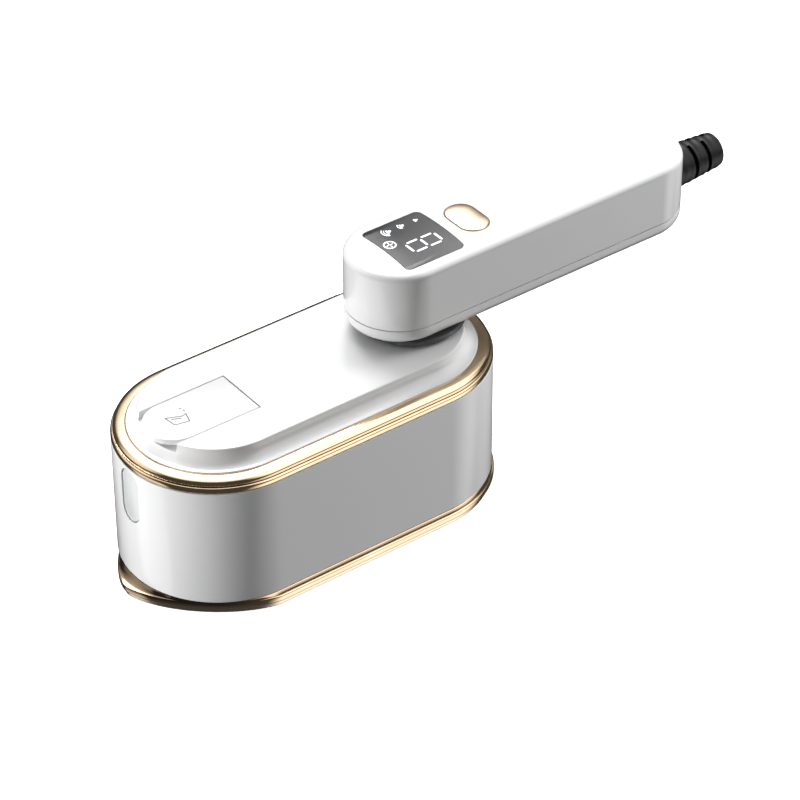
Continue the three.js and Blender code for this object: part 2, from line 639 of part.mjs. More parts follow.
{
  const outside = prism(headOutline(HEAD_RADIUS), SHELL_Z, SHELL_HEIGHT);
  const above = prism(headOutline(SHELL_INNER), DECK_TOP, SHELL_HEIGHT);
  const below = prism(headOutline(SHELL_INNER), SHELL_Z - 1, DECK_RISE + 1);
  const bosses = chamberScrews.map(([x, y]) =>
    disc(bossRadius, DECK_Z + 1, DECK_THICKNESS - 1 + DECK_BOSS_HEIGHT, x, y),
  );
  const passages = [hosePassage, ...wirePassages].map(([x, y]) =>
    disc(PASSAGE_RADIUS, DECK_Z - 1, DECK_THICKNESS + 2, x, y),
  );
  const screwHoles = [...chamberScrews, ...coverScrews].map(([x, y]) =>
    disc(screwHole, DECK_Z - 1, DECK_THICKNESS + DECK_BOSS_HEIGHT + 2, x, y, 8),
  );
  const hollow = cut(outside, above, below, windowTool(GAP));
  const shell = cut(join(hollow, ...bosses), ...passages, ...screwHoles);
  place(steamer, 'side_shell', shell, WHITE);

  const skin = cut(
    prism(headOutline(HEAD_RADIUS - WINDOW_INSET), SHELL_Z, SHELL_HEIGHT),
    prism(headOutline(SHELL_INNER + GAP), SHELL_Z - 1, SHELL_HEIGHT + 2),
  );
  place(steamer, 'level_window', common(skin, windowTool(0)), CLEAR);
}

// ---------------------------------------------------------------- trims and top cover

{
  const hole = prism(headOutline(RING_INNER), BAND_Z - 1, RING_TOP - BAND_Z + 2);
  const band = prism(headOutline(HEAD_RADIUS), BAND_Z, BAND_HEIGHT);
  place(steamer, 'trim_band', cut(band, hole), GOLD);

  const width = HEAD_RADIUS - RING_STEP - RING_INNER;
  const arch = [0, 0.35, 0.65, 0.9].map((t) => {
    const radius = RING_INNER + width * Math.cos((t * Math.PI) / 2);
    return [headOutline(radius), RING_Z + RING_HEIGHT * Math.sin((t * Math.PI) / 2)];
  });
  place(steamer, 'trim_ring', cut(loft(...arch), hole), GOLD);
}

// The flap's outline about its hinge, grown all round.
const flapOutline = (grow) =>
  roundEnded(HINGE_SETBACK + grow, HINGE_SETBACK - FLAP_LENGTH + FLAP_WIDTH / 2,
    FLAP_WIDTH / 2 + grow, 12);

{
  const outside = loft(
    [headOutline(COVER_RADIUS), COVER_Z],
    [headOutline(COVER_RADIUS), RING_TOP],
    [headOutline(COVER_RADIUS - 0.48 * COVER_SLOPE), RING_TOP + 0.35 * COVER_RISE],
    [headOutline(COVER_RADIUS - 0.78 * COVER_SLOPE), RING_TOP + 0.72 * COVER_RISE],
    [headOutline(PLATEAU_RADIUS), TOP_Z - COVER_EDGE],
    [headOutline(PLATEAU_RADIUS - COVER_EDGE), TOP_Z],
  );
  const inside = loft(
    [headOutline(COVER_RADIUS - COVER_WALL), COVER_Z - 1],
    [headOutline(COVER_RADIUS - COVER_WALL), RING_TOP - GAP],
    [headOutline(PLATEAU_RADIUS - COVER_WALL / 2), TOP_Z - COVER_WALL],
  );
  const slabHeight = POCKET_DEPTH + POCKET_FLOOR;
  const slab = prism(flapOutline(POCKET_WALL), TOP_Z - slabHeight, slabHeight);
  const pocket = prism(flapOutline(POCKET_MARGIN), POCKET_Z, POCKET_DEPTH + 1);
  const knuckleRadius = Math.hypot(HINGE_SETBACK, BARREL_RADIUS) + GAP;
  const knuckle = barAlongY(knuckleRadius, FLAP_WIDTH + 2 * POCKET_MARGIN, 0, HINGE_Z, 20);
  for (const piece of [slab, pocket, knuckle]) piece.translate(HINGE_X, 0, 0);
  const pinHole = barAlongY(HINGE_PIN_RADIUS + GAP, PIN_LENGTH + 2 * GAP, HINGE_X, HINGE_Z);
  const fillHole = disc(NECK_RADIUS + GAP, COVER_Z, TOP_Z - COVER_Z, FILL_X, 0, 20);
  const pivotHole = disc(SHAFT_RADIUS + GAP + BUSH_WALL + GAP, COVER_Z, TOP_Z, PIVOT_X, 0, 20);
  const postTop = RING_TOP + COVER_POST_RISE;
  const postFoot = DECK_TOP + GAP;
  const posts = coverScrews.map(([x, y]) => disc(bossRadius, postFoot, postTop - postFoot, x, y));
  const pilots = coverScrews.map(([x, y]) =>
    disc(screwHole, postFoot - 1, COVER_SCREW_LENGTH + 1, x, y, 8),
  );
  const bare = join(cut(outside, inside), common(slab, outside), ...posts);
  const cover = cut(bare, pocket, knuckle, pinHole, fillHole, pivotHole, ...pilots);
  place(steamer, 'top_cover', cover, WHITE);
}

coverScrews.forEach(([x, y], i) => {
  const mesh = place(steamer, `cover_screw_${i + 1}`, screw(COVER_SCREW_LENGTH), STEEL);
  mesh.position.set(x, y, DECK_Z - GAP);
  mesh.rotation.x = Math.PI;
});

// ---------------------------------------------------------------- water tank

const tankOutline = (inset) => roundEnded(TANK_END_X - inset, -HEAD_HALF, TANK_RADIUS - inset);

{
  const nipple = barAlongX(PUMP_NIPPLE_RADIUS, TANK_END_X - 1, PUMP_NIPPLE_LENGTH + 1,
    TANK_NIPPLE_Y, TANK_NIPPLE_Z);
  const bore = barAlongX(NIPPLE_BORE, TANK_END_X - TANK_WALL - 1, PUMP_NIPPLE_LENGTH + 9,
    TANK_NIPPLE_Y, TANK_NIPPLE_Z, 10);
  const cup = cut(
    prism(tankOutline(0), TANK_Z, TANK_TOP - TANK_Z),
    prism(tankOutline(TANK_WALL), TANK_Z + TANK_WALL, TANK_TOP - TANK_Z),
  );
  place(steamer, 'water_tank', cut(join(cup, nipple), bore), CLEAR);

  const sealInset = TANK_WALL + GAP;
  const seal = cut(
    prism(tankOutline(sealInset), TANK_TOP - TANK_SEAL_HEIGHT, TANK_SEAL_HEIGHT),
    prism(tankOutline(sealInset + TANK_SEAL_WIDTH), TANK_Z, TANK_TOP),
  );
  place(steamer, 'tank_seal', seal, SILICONE);

  const neckTop = POCKET_Z - FILLER_SEAL_HEIGHT - GAP;
  const neck = disc(NECK_RADIUS, LID_Z, neckTop - LID_Z, FILL_X, 0, 20);
  const mouth = disc(NECK_RADIUS - NECK_WALL, LID_Z - 1, neckTop - LID_Z + 2, FILL_X, 0, 20);
  const plate = prism(tankOutline(0), LID_Z, TANK_LID_THICKNESS);
  place(steamer, 'tank_lid', cut(join(plate, neck), mouth), ACETAL);

  const sealRing = tube(NECK_RADIUS - NECK_WALL - 0.2, NECK_RADIUS, 0, FILLER_SEAL_HEIGHT, 20);
  place(steamer, 'filler_seal', sealRing, SILICONE, [FILL_X, 0, neckTop + GAP]);
}

// ---------------------------------------------------------------- filler flap

{
  const leaf = prism(flapOutline(0), FLAP_Z - HINGE_Z, FLAP_THICKNESS);
  const barrel = barAlongY(BARREL_RADIUS, FLAP_WIDTH, 0, 0, 16);
  const bore = barAlongY(HINGE_PIN_RADIUS + GAP, FLAP_WIDTH + 2);
  place(flapGroup, 'filler_flap', cut(join(leaf, barrel), bore), WHITE);

  const radius = NECK_RADIUS - NECK_WALL - PLUG_CLEARANCE;
  const top = FLAP_Z - HINGE_Z - GAP;
  const plug = disc(radius - PLUG_TAPER, top - PLUG_DEPTH, PLUG_DEPTH, FILL_X - HINGE_X, 0, 24,
    radius);
  place(flapGroup, 'flap_plug', plug, SILICONE);
  place(flapGroup, 'flap_hinge_pin', barAlongY(HINGE_PIN_RADIUS, PIN_LENGTH), STEEL);
}

// ---------------------------------------------------------------- pump, drawn upright about its bore

const pumpHalf = PUMP_TUBE_LENGTH / 2;
const valveZ = pumpHalf - VALVE_CHAMBER; // upper face of the valve's seat

{
  const wall = PUMP_TUBE_RADIUS - PUMP_BORE;
  const tubeBody = lathe([
    [NIPPLE_BORE, -pumpHalf - PUMP_NIPPLE_LENGTH],
    [PUMP_NIPPLE_RADIUS, -pumpHalf - PUMP_NIPPLE_LENGTH],
    [PUMP_NIPPLE_RADIUS, -pumpHalf],
    [PUMP_TUBE_RADIUS, -pumpHalf],
    [PUMP_TUBE_RADIUS, pumpHalf],
    [PUMP_BORE, pumpHalf],
    [PUMP_BORE, -pumpHalf + wall],
    [NIPPLE_BORE, -pumpHalf + wall],
  ]);
  place(pumpGroup, 'pump_tube', tubeBody, ACETAL);

  const coilBore = disc(PUMP_TUBE_RADIUS + GAP, -pumpHalf, PUMP_TUBE_LENGTH);
  const coil = block(COIL_SIZE, COIL_SIZE, COIL_LENGTH, [0, 0, -COIL_LENGTH / 2]);
  place(pumpGroup, 'pump_coil', cut(coil, coilBore), COPPER);

  const inner = [COIL_SIZE + 2, COIL_SIZE + 2 * GAP, COIL_LENGTH + 2 * GAP];
  const outer = [COIL_SIZE, inner[1] + 2 * YOKE_WALL, inner[2] + 2 * YOKE_WALL];
  const yoke = cut(
    block(...outer, [0, 0, -outer[2] / 2]),
    block(...inner, [0, 0, -inner[2] / 2]),
    coilBore,
  );
  place(pumpGroup, 'pump_yoke', yoke, STEEL);

  const fit = PUMP_BORE - GAP;
  place(pumpGroup, 'pump_plunger', disc(fit, PLUNGER_Z, PLUNGER_LENGTH), STEEL);
  place(pumpGroup, 'valve_seat', tube(NIPPLE_BORE, fit, valveZ - SEAT_HEIGHT, SEAT_HEIGHT), ACETAL);

  const springZ = PLUNGER_Z + PLUNGER_LENGTH + GAP;
  const springHeight = valveZ - SEAT_HEIGHT - GAP - springZ;
  const coilSpring = spring(fit - SPRING_WIRE - GAP, SPRING_WIRE, springZ, springHeight, 5);
  place(pumpGroup, 'pump_spring', coilSpring, STEEL);

  const ball = new THREE.SphereGeometry(VALVE_BALL_RADIUS, 12, 8);
  place(pumpGroup, 'valve_ball', ball, STEEL, [0, 0, valveZ + GAP + VALVE_BALL_RADIUS]);

  const capTop = pumpHalf + GAP + CAP_FLANGE;
  const cap = lathe([
    [VALVE_BALL_RADIUS + GAP, valveZ + GAP],
    [fit, valveZ + GAP],
    [fit, pumpHalf + GAP],
    [PUMP_TUBE_RADIUS, pumpHalf + GAP],
    [PUMP_TUBE_RADIUS, capTop],
    [PUMP_NIPPLE_RADIUS, capTop],
    [PUMP_NIPPLE_RADIUS, capTop + PUMP_NIPPLE_LENGTH],
    [NIPPLE_BORE, capTop + PUMP_NIPPLE_LENGTH],
    [NIPPLE_BORE, pumpHalf - GAP],
    [VALVE_BALL_RADIUS + GAP, pumpHalf - GAP],
  ]);
  place(pumpGroup, 'pump_cap', cap, ACETAL);
}

// ---------------------------------------------------------------- hoses and head wiring

{
  const inletY = -pumpHalf - PUMP_NIPPLE_LENGTH - GAP;
  const outletY = pumpHalf + 2 * GAP + CAP_FLANGE + PUMP_NIPPLE_LENGTH;
  const tankX = TANK_END_X + PUMP_NIPPLE_LENGTH + GAP;
  const outerY = SHELL_INNER - HOSE_RADIUS - HOSE_WALL_CLEARANCE;
  const inlet = hose([
    [tankX, TANK_NIPPLE_Y, TANK_NIPPLE_Z],
    [tankX + 1.5, TANK_NIPPLE_Y, TANK_NIPPLE_Z],
    [tankX + 4.5, TANK_NIPPLE_Y - 1.2, TANK_NIPPLE_Z + 0.5],
    [tankX + 8, -outerY + 4, TANK_NIPPLE_Z + 1.8],
    [PUMP_X - 5, -outerY, PUMP_Z - 1.5],
    [PUMP_X - 1.2, -outerY + 0.4, PUMP_Z - 0.2],
    [PUMP_X, inletY - 1.6, PUMP_Z],
    [PUMP_X, inletY, PUMP_Z],
  ], HOSE_RADIUS);
  place(steamer, 'inlet_hose', inlet, SILICONE);

  const nozzleTop = CHAMBER_TOP + GAP + NOZZLE_HEIGHT;
  const outlet = hose([
    [PUMP_X, outletY, PUMP_Z],
    [PUMP_X, outletY + 1.4, PUMP_Z],
    [PUMP_X - 1.2, outletY + 3.6, PUMP_Z - 1],
    [PUMP_X - 4.5, outerY, PUMP_Z - 4],
    [NOZZLE_X + 3.5, outerY - 4, DECK_TOP + 4],
    [NOZZLE_X + 0.5, HOSE_APPROACH, DECK_TOP + 3],
    [NOZZLE_X, 9, DECK_TOP + 2.8],
    [NOZZLE_X, 2.2, DECK_TOP + 1.4],
    [NOZZLE_X, 0, DECK_Z],
    [NOZZLE_X, 0, nozzleTop + GAP],
  ], HOSE_RADIUS, 28);
  place(steamer, 'outlet_hose', outlet, SILICONE);

  const [wireX, wireY] = wirePassages[0];
  const tailTop = CHAMBER_TOP - HEATER_DROP + HEATER_TAIL;
  const harness = hose([
    [PIVOT_X, 0, SHAFT_Z - GAP],
    [PIVOT_X, 0, SHAFT_Z - 6],
    [PIVOT_X - 1, wireY / 3, DECK_TOP + 10],
    [wireX + 0.5, 0.85 * wireY, DECK_TOP + 4],
    [wireX, wireY, DECK_Z],
    [wireX, wireY, tailTop + GAP],
  ], HARNESS_RADIUS, 16);
  place(steamer, 'head_harness', harness, BLACK);
}

// ---------------------------------------------------------------- swivel

{
  const inner = SHAFT_RADIUS + GAP;
  const outer = inner + BUSH_WALL;
  const flangeTop = TOP_Z - COVER_WALL - GAP;
  const bush = lathe([
    [inner, BUSH_Z],
    [outer, BUSH_Z],
    [outer, flangeTop - BUSH_FLANGE_HEIGHT],
    [outer + BUSH_FLANGE, flangeTop - BUSH_FLANGE_HEIGHT],
    [outer + BUSH_FLANGE, flangeTop],
    [outer, flangeTop],
    [outer, BUSH_TOP],
    [inner, BUSH_TOP],
  ], 20);
  place(steamer, 'pivot_bush', bush, ACETAL, [PIVOT_X, 0, 0]);

  const washerZ = BUSH_Z - GAP - WASHER_HEIGHT;
  const washer = tube(inner, outer, washerZ, WASHER_HEIGHT, 20);
  place(steamer, 'friction_washer', washer, STEEL, [PIVOT_X, 0, 0]);

  const grooveTop = washerZ;
  const grooveZ = grooveTop - CLIP_HEIGHT - 2 * GAP;
  const shaft = lathe([
    [SHAFT_BORE, SHAFT_Z],
    [SHAFT_RADIUS, SHAFT_Z],
    [SHAFT_RADIUS, grooveZ],
    [SHAFT_RADIUS - CLIP_BITE, grooveZ],
    [SHAFT_RADIUS - CLIP_BITE, grooveTop],
    [SHAFT_RADIUS, grooveTop],
    [SHAFT_RADIUS, SHAFT_TOP],
    [SHAFT_FLANGE, SHAFT_TOP],
    [SHAFT_FLANGE, SHAFT_TOP + SHAFT_FLANGE_HEIGHT],
    [SHAFT_BORE, SHAFT_TOP + SHAFT_FLANGE_HEIGHT],
  ], 20);
  place(handleGroup, 'pivot_shaft', shaft, STEEL);

  const clipInner = SHAFT_RADIUS - CLIP_BITE + GAP;
  const clip = cut(
    tube(clipInner, outer, grooveZ + GAP, CLIP_HEIGHT, 20),
    block(outer, CLIP_MOUTH, 2 * CLIP_HEIGHT, [outer / 2 + 1, 0, grooveZ]),
  );
  place(handleGroup, 'retaining_clip', clip, STEEL);
  place(handleGroup, 'neck_collar', tube(inner, COLLAR_RADIUS, COLLAR_Z, COLLAR_HEIGHT, 28),
    DARK_GREY);
}

// ---------------------------------------------------------------- handle casing

// Rounded rims: steps of [radius lost, height] round a quarter circle.
const quarter = (round, steps) =>
  Array.from({ length: steps + 1 }, (_, i) => {
    const angle = (i / steps) * (Math.PI / 2);
    return [round * (1 - Math.cos(angle)), round * Math.sin(angle)];
  });

const counterboreTop = LOWER_Z + HANDLE_COUNTERBORE;
const lowerTop = LOWER_Z + LOWER_HEIGHT;
const clampPosts = [1, -1].map((side) => [CLAMP_X, side * CLAMP_SPREAD]);
const clampPostTop = BOOT_Z + CLAMP_SEAT;
const boardPosts = [20, 64].flatMap((x) => [[x, BOARD_POST_Y], [x, -BOARD_POST_Y]]);

{
  const skin = quarter(LOWER_ROUND, 3)
    .reverse()
    .map(([lost, up]) => [handleOutline(HANDLE_RADIUS - lost), LOWER_Z + LOWER_ROUND - up]);
  const outside = loft(...skin, [handleOutline(HANDLE_RADIUS), lowerTop]);
  const innerRound = LOWER_ROUND - HANDLE_WALL;
  const hollow = quarter(innerRound, 2)
    .reverse()
    .map(([lost, up]) => [handleOutline(HANDLE_INNER - lost), LOWER_FLOOR + innerRound - up]);
  const inside = loft(...hollow, [handleOutline(HANDLE_INNER), lowerTop + 1]);
  const post = (radius, top, [x, y]) =>
    disc(radius, LOWER_FLOOR - 1, top - LOWER_FLOOR + 1, x, y);
  const screwCentres = HANDLE_SCREWS_X.map((x) => [x, 0]);
  const bosses = screwCentres.map((p) => post(HANDLE_BOSS_RADIUS, lowerTop, p));
  const clampBosses = clampPosts.map((p) => post(bossRadius, clampPostTop, p));
  const shelves = boardPosts.map((p) => post(BOARD_POST_RADIUS, BOARD_Z - GAP, p));
  const holes = screwCentres.flatMap(([x, y]) => [
    disc(SCREW_HEAD + GAP, LOWER_Z - 1, HANDLE_COUNTERBORE + 1, x, y),
    disc(screwHole, LOWER_Z, LOWER_HEIGHT + 1, x, y, 8),
  ]);
  const pilots = clampPosts.map(([x, y]) =>
    disc(screwHole, clampPostTop - CLAMP_SCREW_LENGTH, CLAMP_SCREW_LENGTH + 1, x, y, 8),
  );
  const shaftHole = disc(SHAFT_RADIUS + GAP, LOWER_Z - 1, LOWER_HEIGHT, 0, 0, 20);
  const bare = join(cut(outside, inside), ...bosses, ...clampBosses, ...shelves);
  const cover = cut(bare, shaftHole, ...holes, ...pilots);
  place(handleGroup, 'handle_lower_cover', cover, WHITE);
}

// The display's outline: straight long sides, and ends that bow towards the cord.
function displayOutline(grow) {
  const left = DISPLAY_X - DISPLAY_LENGTH / 2 - grow;
  const right = DISPLAY_X + DISPLAY_LENGTH / 2 + grow;
  const side = DISPLAY_WIDTH / 2 + grow;
  const edge = right - DISPLAY_BOW;
  const shape = new THREE.Shape();
  shape.moveTo(left + DISPLAY_CORNER, -side);
  shape.lineTo(edge - DISPLAY_CORNER, -side);
  shape.quadraticCurveTo(edge, -side, edge, -side + DISPLAY_CORNER);
  shape.quadraticCurveTo(right + DISPLAY_BOW, 0, edge, side - DISPLAY_CORNER);
  shape.quadraticCurveTo(edge, side, edge - DISPLAY_CORNER, side);
  shape.lineTo(left + DISPLAY_CORNER, side);
  shape.quadraticCurveTo(left, side, left, side - DISPLAY_CORNER);
  shape.quadraticCurveTo(left + 2 * DISPLAY_BOW, 0, left, -side + DISPLAY_CORNER);
  shape.quadraticCurveTo(left, -side, left + DISPLAY_CORNER, -side);
  const points = shape.getPoints(6);
  points.pop(); // the last point repeats the first
  return points;
}

// The button's outline, a stadium across the handle.
const buttonOutline = (grow) =>
  stadium((BUTTON_LENGTH - BUTTON_WIDTH) / 2, BUTTON_WIDTH / 2 + grow, 0, 10).map(
    (p) => new THREE.Vector2(BUTTON_X - p.y, p.x),
  );

const windowFloor = UPPER_TOP - DISPLAY_THICKNESS - GAP;

{
  const rim = quarter(UPPER_ROUND, 3).map(([lost, up]) => [
    handleOutline(HANDLE_RADIUS - lost),
    UPPER_TOP - UPPER_ROUND + up,
  ]);
  const outside = loft([handleOutline(HANDLE_RADIUS), UPPER_Z], ...rim);
  const inside = prism(handleOutline(HANDLE_INNER), UPPER_Z - 1, UPPER_CEILING - UPPER_Z + 1);
  const posts = HANDLE_SCREWS_X.map((x) =>
    disc(bossRadius, UPPER_Z, UPPER_CEILING - UPPER_Z + 1, x, 0),
  );
  const pilots = HANDLE_SCREWS_X.map((x) =>
    disc(screwHole, UPPER_Z - 1, HANDLE_SCREW_LENGTH, x, 0, 8),
  );
  const recess = prism(displayOutline(GAP), windowFloor, UPPER_TOP);
  const lens = prism(displayOutline(-DISPLAY_LEDGE), UPPER_CEILING - 1, UPPER_TOP);
  const buttonHole = prism(buttonOutline(GAP), UPPER_CEILING - 1, UPPER_TOP);
  const cordHole = barAlongX(BOOT_NECK + GAP, HANDLE_END - CORD_WALL_DEPTH, CORD_WALL_DEPTH + 5, 0,
    BOOT_Z, 20);
  const bare = join(cut(outside, inside), ...posts);
  const shell = cut(bare, recess, lens, buttonHole, cordHole, ...pilots);
  place(handleGroup, 'handle_upper_shell', shell, WHITE);
}

HANDLE_SCREWS_X.forEach((x, i) => {
  const z = counterboreTop - GAP;
  const mesh = place(handleGroup, `handle_screw_${i + 1}`, screw(HANDLE_SCREW_LENGTH), STEEL);
  mesh.position.set(x, 0, z);
  mesh.rotation.x = Math.PI;
});

// ---------------------------------------------------------------- display, board and button

{
  const pane = prism(displayOutline(0), UPPER_TOP - DISPLAY_THICKNESS, DISPLAY_THICKNESS);
  place(handleGroup, 'display_window', pane, DARK_GREY);

  const moduleZ = BOARD_TOP + GAP;
  const module = block(DISPLAY_LENGTH - MODULE_MARGIN, DISPLAY_WIDTH - MODULE_MARGIN,
    windowFloor - GAP - moduleZ, [DISPLAY_X, 0, moduleZ]);
  place(handleGroup, 'display_module', module, BLACK);

  const [boardStart, boardEnd] = [-HANDLE_OVERHANG / 2, CLAMP_X - CLAMP_WIDTH / 2 - BOARD_MARGIN];
  const board = block(boardEnd - boardStart, 2 * (HANDLE_INNER - BOARD_MARGIN), BOARD_THICKNESS,
    [(boardStart + boardEnd) / 2, 0, BOARD_Z]);
  const notches = HANDLE_SCREWS_X.map((x) =>
    disc(bossRadius + GAP, BOARD_Z - 1, BOARD_THICKNESS + 2, x, 0),
  );
  place(handleGroup, 'main_board', cut(board, ...notches), BOARD_GREEN);

  const switchZ = BOARD_TOP + GAP;
  const switchTop = switchZ + SWITCH_HEIGHT;
  const well = disc(PLUNGER_RADIUS + GAP, switchTop - SWITCH_WELL, SWITCH_WELL + 1, 0, 0, 12);
  const body = cut(block(SWITCH_SIZE, SWITCH_SIZE, SWITCH_HEIGHT, [0, 0, switchZ]), well);
  place(handleGroup, 'tact_switch', body, BLACK, [BUTTON_X, 0, 0]);

  const plungerZ = switchTop - SWITCH_WELL + BUTTON_TRAVEL + GAP;
  const plungerTop = switchTop + SWITCH_STEM;
  const stem = disc(PLUNGER_RADIUS, plungerZ, plungerTop - plungerZ, 0, 0, 12);
  place(handleGroup, 'switch_plunger', stem, ACETAL, [BUTTON_X, 0, 0]);

  const flangeTop = UPPER_CEILING - GAP;
  const flangeZ = flangeTop - BUTTON_FLANGE_HEIGHT;
  const capTop = UPPER_TOP + BUTTON_PROUD;
  const cap = join(
    prism(buttonOutline(BUTTON_FLANGE), flangeZ, BUTTON_FLANGE_HEIGHT),
    loft(
      [buttonOutline(0), flangeZ + BUTTON_FLANGE_HEIGHT / 2],
      [buttonOutline(0), capTop - BUTTON_EDGE],
      [buttonOutline(-BUTTON_EDGE), capTop],
    ),
    disc(PLUNGER_RADIUS, plungerTop + GAP, flangeZ - plungerTop, BUTTON_X, 0, 12),
  );
  place(handleGroup, 'power_button', cap, GOLD);

  const springZ = switchTop + GAP;
  const coil = spring(BUTTON_SPRING_RADIUS, SPRING_WIRE, springZ, flangeZ - GAP - springZ, 4);
  place(handleGroup, 'button_spring', coil, STEEL, [BUTTON_X, 0, 0]);

  const harness = hose([
    [0, 0, SHAFT_Z + GAP],
    [0, 0, SHAFT_TOP - 4],
    [0, 0, SHAFT_TOP + 3],
    [3, 0, BOARD_Z - 6],
    [9, 0, BOARD_Z - HARNESS_RADIUS - 1],
    [15, 0, BOARD_Z - HARNESS_RADIUS - 0.6],
  ], HARNESS_RADIUS, 16);
  place(handleGroup, 'handle_harness', harness, BLACK);
}

// ---------------------------------------------------------------- cord outlet

{
  // Drawn upright with its foot at the handle's far end, then laid along X.
  const foot = -CORD_WALL_DEPTH;
  const taper = lathe([
    [0, foot],
    [BOOT_RADIUS, foot],
    [BOOT_RADIUS, BOOT_LENGTH / 4],
    [BOOT_TIP_RADIUS, BOOT_LENGTH - BOOT_EDGE],
    [BOOT_TIP_RADIUS - BOOT_EDGE, BOOT_LENGTH],
    [0, BOOT_LENGTH],
  ], 20);
  const pitch = (BOOT_LENGTH - 2 * BOOT_END_RIB) / BOOT_RIBS;
  const slots = Array.from({ length: BOOT_RIBS }, (_, i) => {
    const z = BOOT_END_RIB + (i + 0.5) * pitch - BOOT_SLOT / 2;
    const half = block(4 * BOOT_RADIUS, 2 * BOOT_RADIUS, BOOT_SLOT, [0, 0, z]);
    half.translate(0, (i % 2 ? 1 : -1) * (BOOT_RADIUS + BOOT_WEB / 2), 0);
    return cut(half, disc(BOOT_CORE, z - 1, BOOT_SLOT + 2, 0, 0, 20));
  });
  const lay = (geometry) => geometry.rotateY(Math.PI / 2).translate(HANDLE_END, 0, BOOT_Z);
  const casing = prism(handleOutline(HANDLE_RADIUS + GAP), LOWER_Z, UPPER_TOP - LOWER_Z);
  const sleeve = cut(lay(cut(taper, ...slots)), casing);
  const neck = barAlongX(BOOT_NECK, HANDLE_END - CORD_WALL_DEPTH, CORD_WALL_DEPTH + 2, 0, BOOT_Z, 20);
  const flangeX = HANDLE_END - CORD_WALL_DEPTH - BOOT_FLANGE_WIDTH;
  const flange = barAlongX(BOOT_FLANGE, flangeX, BOOT_FLANGE_WIDTH + 0.5, 0, BOOT_Z, 20);
  const bore = barAlongX(BOOT_BORE, flangeX - 1, 2 * BOOT_LENGTH, 0, BOOT_Z, 20);
  place(handleGroup, 'cord_boot', cut(join(sleeve, neck, flange), bore), BLACK);

  const bar = block(CLAMP_WIDTH, 2 * (CLAMP_SPREAD + bossRadius), CLAMP_HEIGHT,
    [CLAMP_X, 0, clampPostTop + GAP]);
  const arch = barAlongX(BOOT_BORE, CLAMP_X - CLAMP_WIDTH, 2 * CLAMP_WIDTH, 0, BOOT_Z, 20);
  const holes = clampPosts.map(([x, y]) =>
    disc(screwHole, clampPostTop, CLAMP_HEIGHT + 2, x, y, 8),
  );
  place(handleGroup, 'cord_clamp', cut(bar, arch, ...holes), BLACK);

  clampPosts.forEach(([x, y], i) => {
    const z = clampPostTop + CLAMP_HEIGHT + 2 * GAP;
    const length = CLAMP_SCREW_LENGTH + CLAMP_HEIGHT - 1;
    place(handleGroup, `clamp_screw_${i + 1}`, screw(length), STEEL, [x, y, z]);
  });
}

export default steamer;
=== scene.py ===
# %% [markdown]
# # A travel garment steamer, modelled step by step
# The steamer is a flat, round-ended steam head with a handle that swivels over it. Its working
# parts come from a imported CAD model, which is loaded as a fixed frame. This lesson makes the skin
# that is seen: smooth shells, gilt trims, a display, and the materials of every part inside.
# Loading comes first, and the CAD parts are kept, with a way to read each one's box.

# %% Load the frame
import json
import math

import bpy
import numpy as np
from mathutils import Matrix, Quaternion, Vector


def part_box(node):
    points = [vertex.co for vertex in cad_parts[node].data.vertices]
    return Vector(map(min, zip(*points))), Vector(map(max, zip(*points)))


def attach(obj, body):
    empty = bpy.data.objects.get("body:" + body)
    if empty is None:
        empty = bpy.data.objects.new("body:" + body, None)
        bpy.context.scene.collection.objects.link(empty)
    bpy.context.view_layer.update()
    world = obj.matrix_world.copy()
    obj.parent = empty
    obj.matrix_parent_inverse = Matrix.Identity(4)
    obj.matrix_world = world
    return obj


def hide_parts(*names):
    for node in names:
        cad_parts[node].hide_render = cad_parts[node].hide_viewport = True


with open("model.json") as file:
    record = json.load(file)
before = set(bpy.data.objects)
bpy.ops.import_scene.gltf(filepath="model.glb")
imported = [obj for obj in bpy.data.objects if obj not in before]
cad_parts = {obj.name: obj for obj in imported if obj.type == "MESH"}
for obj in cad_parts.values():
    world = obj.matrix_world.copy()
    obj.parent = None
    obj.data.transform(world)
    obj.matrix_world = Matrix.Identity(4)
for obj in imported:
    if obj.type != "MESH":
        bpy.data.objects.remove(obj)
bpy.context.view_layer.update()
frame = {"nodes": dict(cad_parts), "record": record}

# %% [markdown]
# ## Measures
# Lengths on the drawing are millimetres, and Blender's unit is the metre, so MM turns one into
# the other. The head and the handle are both stadiums: two half circles joined by straight sides.
# Each is known by its radius, by how far its round ends' centres stand from its middle, and by
# where that middle is. These come from the CAD nodes, so the skin always fits the parts beneath
# it.

# %% Read the stadiums and the levels from the CAD nodes
MM = 0.001


def stadium_of(node):
    """Radius, half distance between the end centres, and middle of a round-ended node."""
    low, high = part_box(node)
    radius = (high[1] - low[1]) / 2
    return radius, (high[0] - low[0]) / 2 - radius, (high[0] + low[0]) / 2


def levels(node):
    """The heights of a node's lowest and highest points."""
    low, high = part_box(node)
    return low[2], high[2]


def middle_of(node):
    """The middle of a node's box."""
    low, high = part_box(node)
    return [(a + b) / 2 for a, b in zip(low, high)]


HEAD_RADIUS, HEAD_HALF, _ = stadium_of("side_shell")
HANDLE_RADIUS, HANDLE_HALF, HANDLE_MIDDLE = stadium_of("handle_upper_shell")
SHELL_FOOT, SHELL_TOP = levels("side_shell")
TOP_LEVEL = levels("top_cover")[1]
HANDLE_TOP = levels("handle_upper_shell")[1]
print(f"head radius {HEAD_RADIUS / MM:.2f}, ends at {HEAD_HALF / MM:.2f} mm")
print(f"handle radius {HANDLE_RADIUS / MM:.2f}, ends at {HANDLE_HALF / MM:.2f} mm")

# %% [markdown]
# ## The camera
# The steamer is seen from above its filler end with a long lens, which keeps its long edges
# almost parallel. The camera is turned by three angles: round the object, above the horizon, and
# a slight roll. Building the rotation from them keeps each one readable, where a tracking
# constraint would hide the roll.

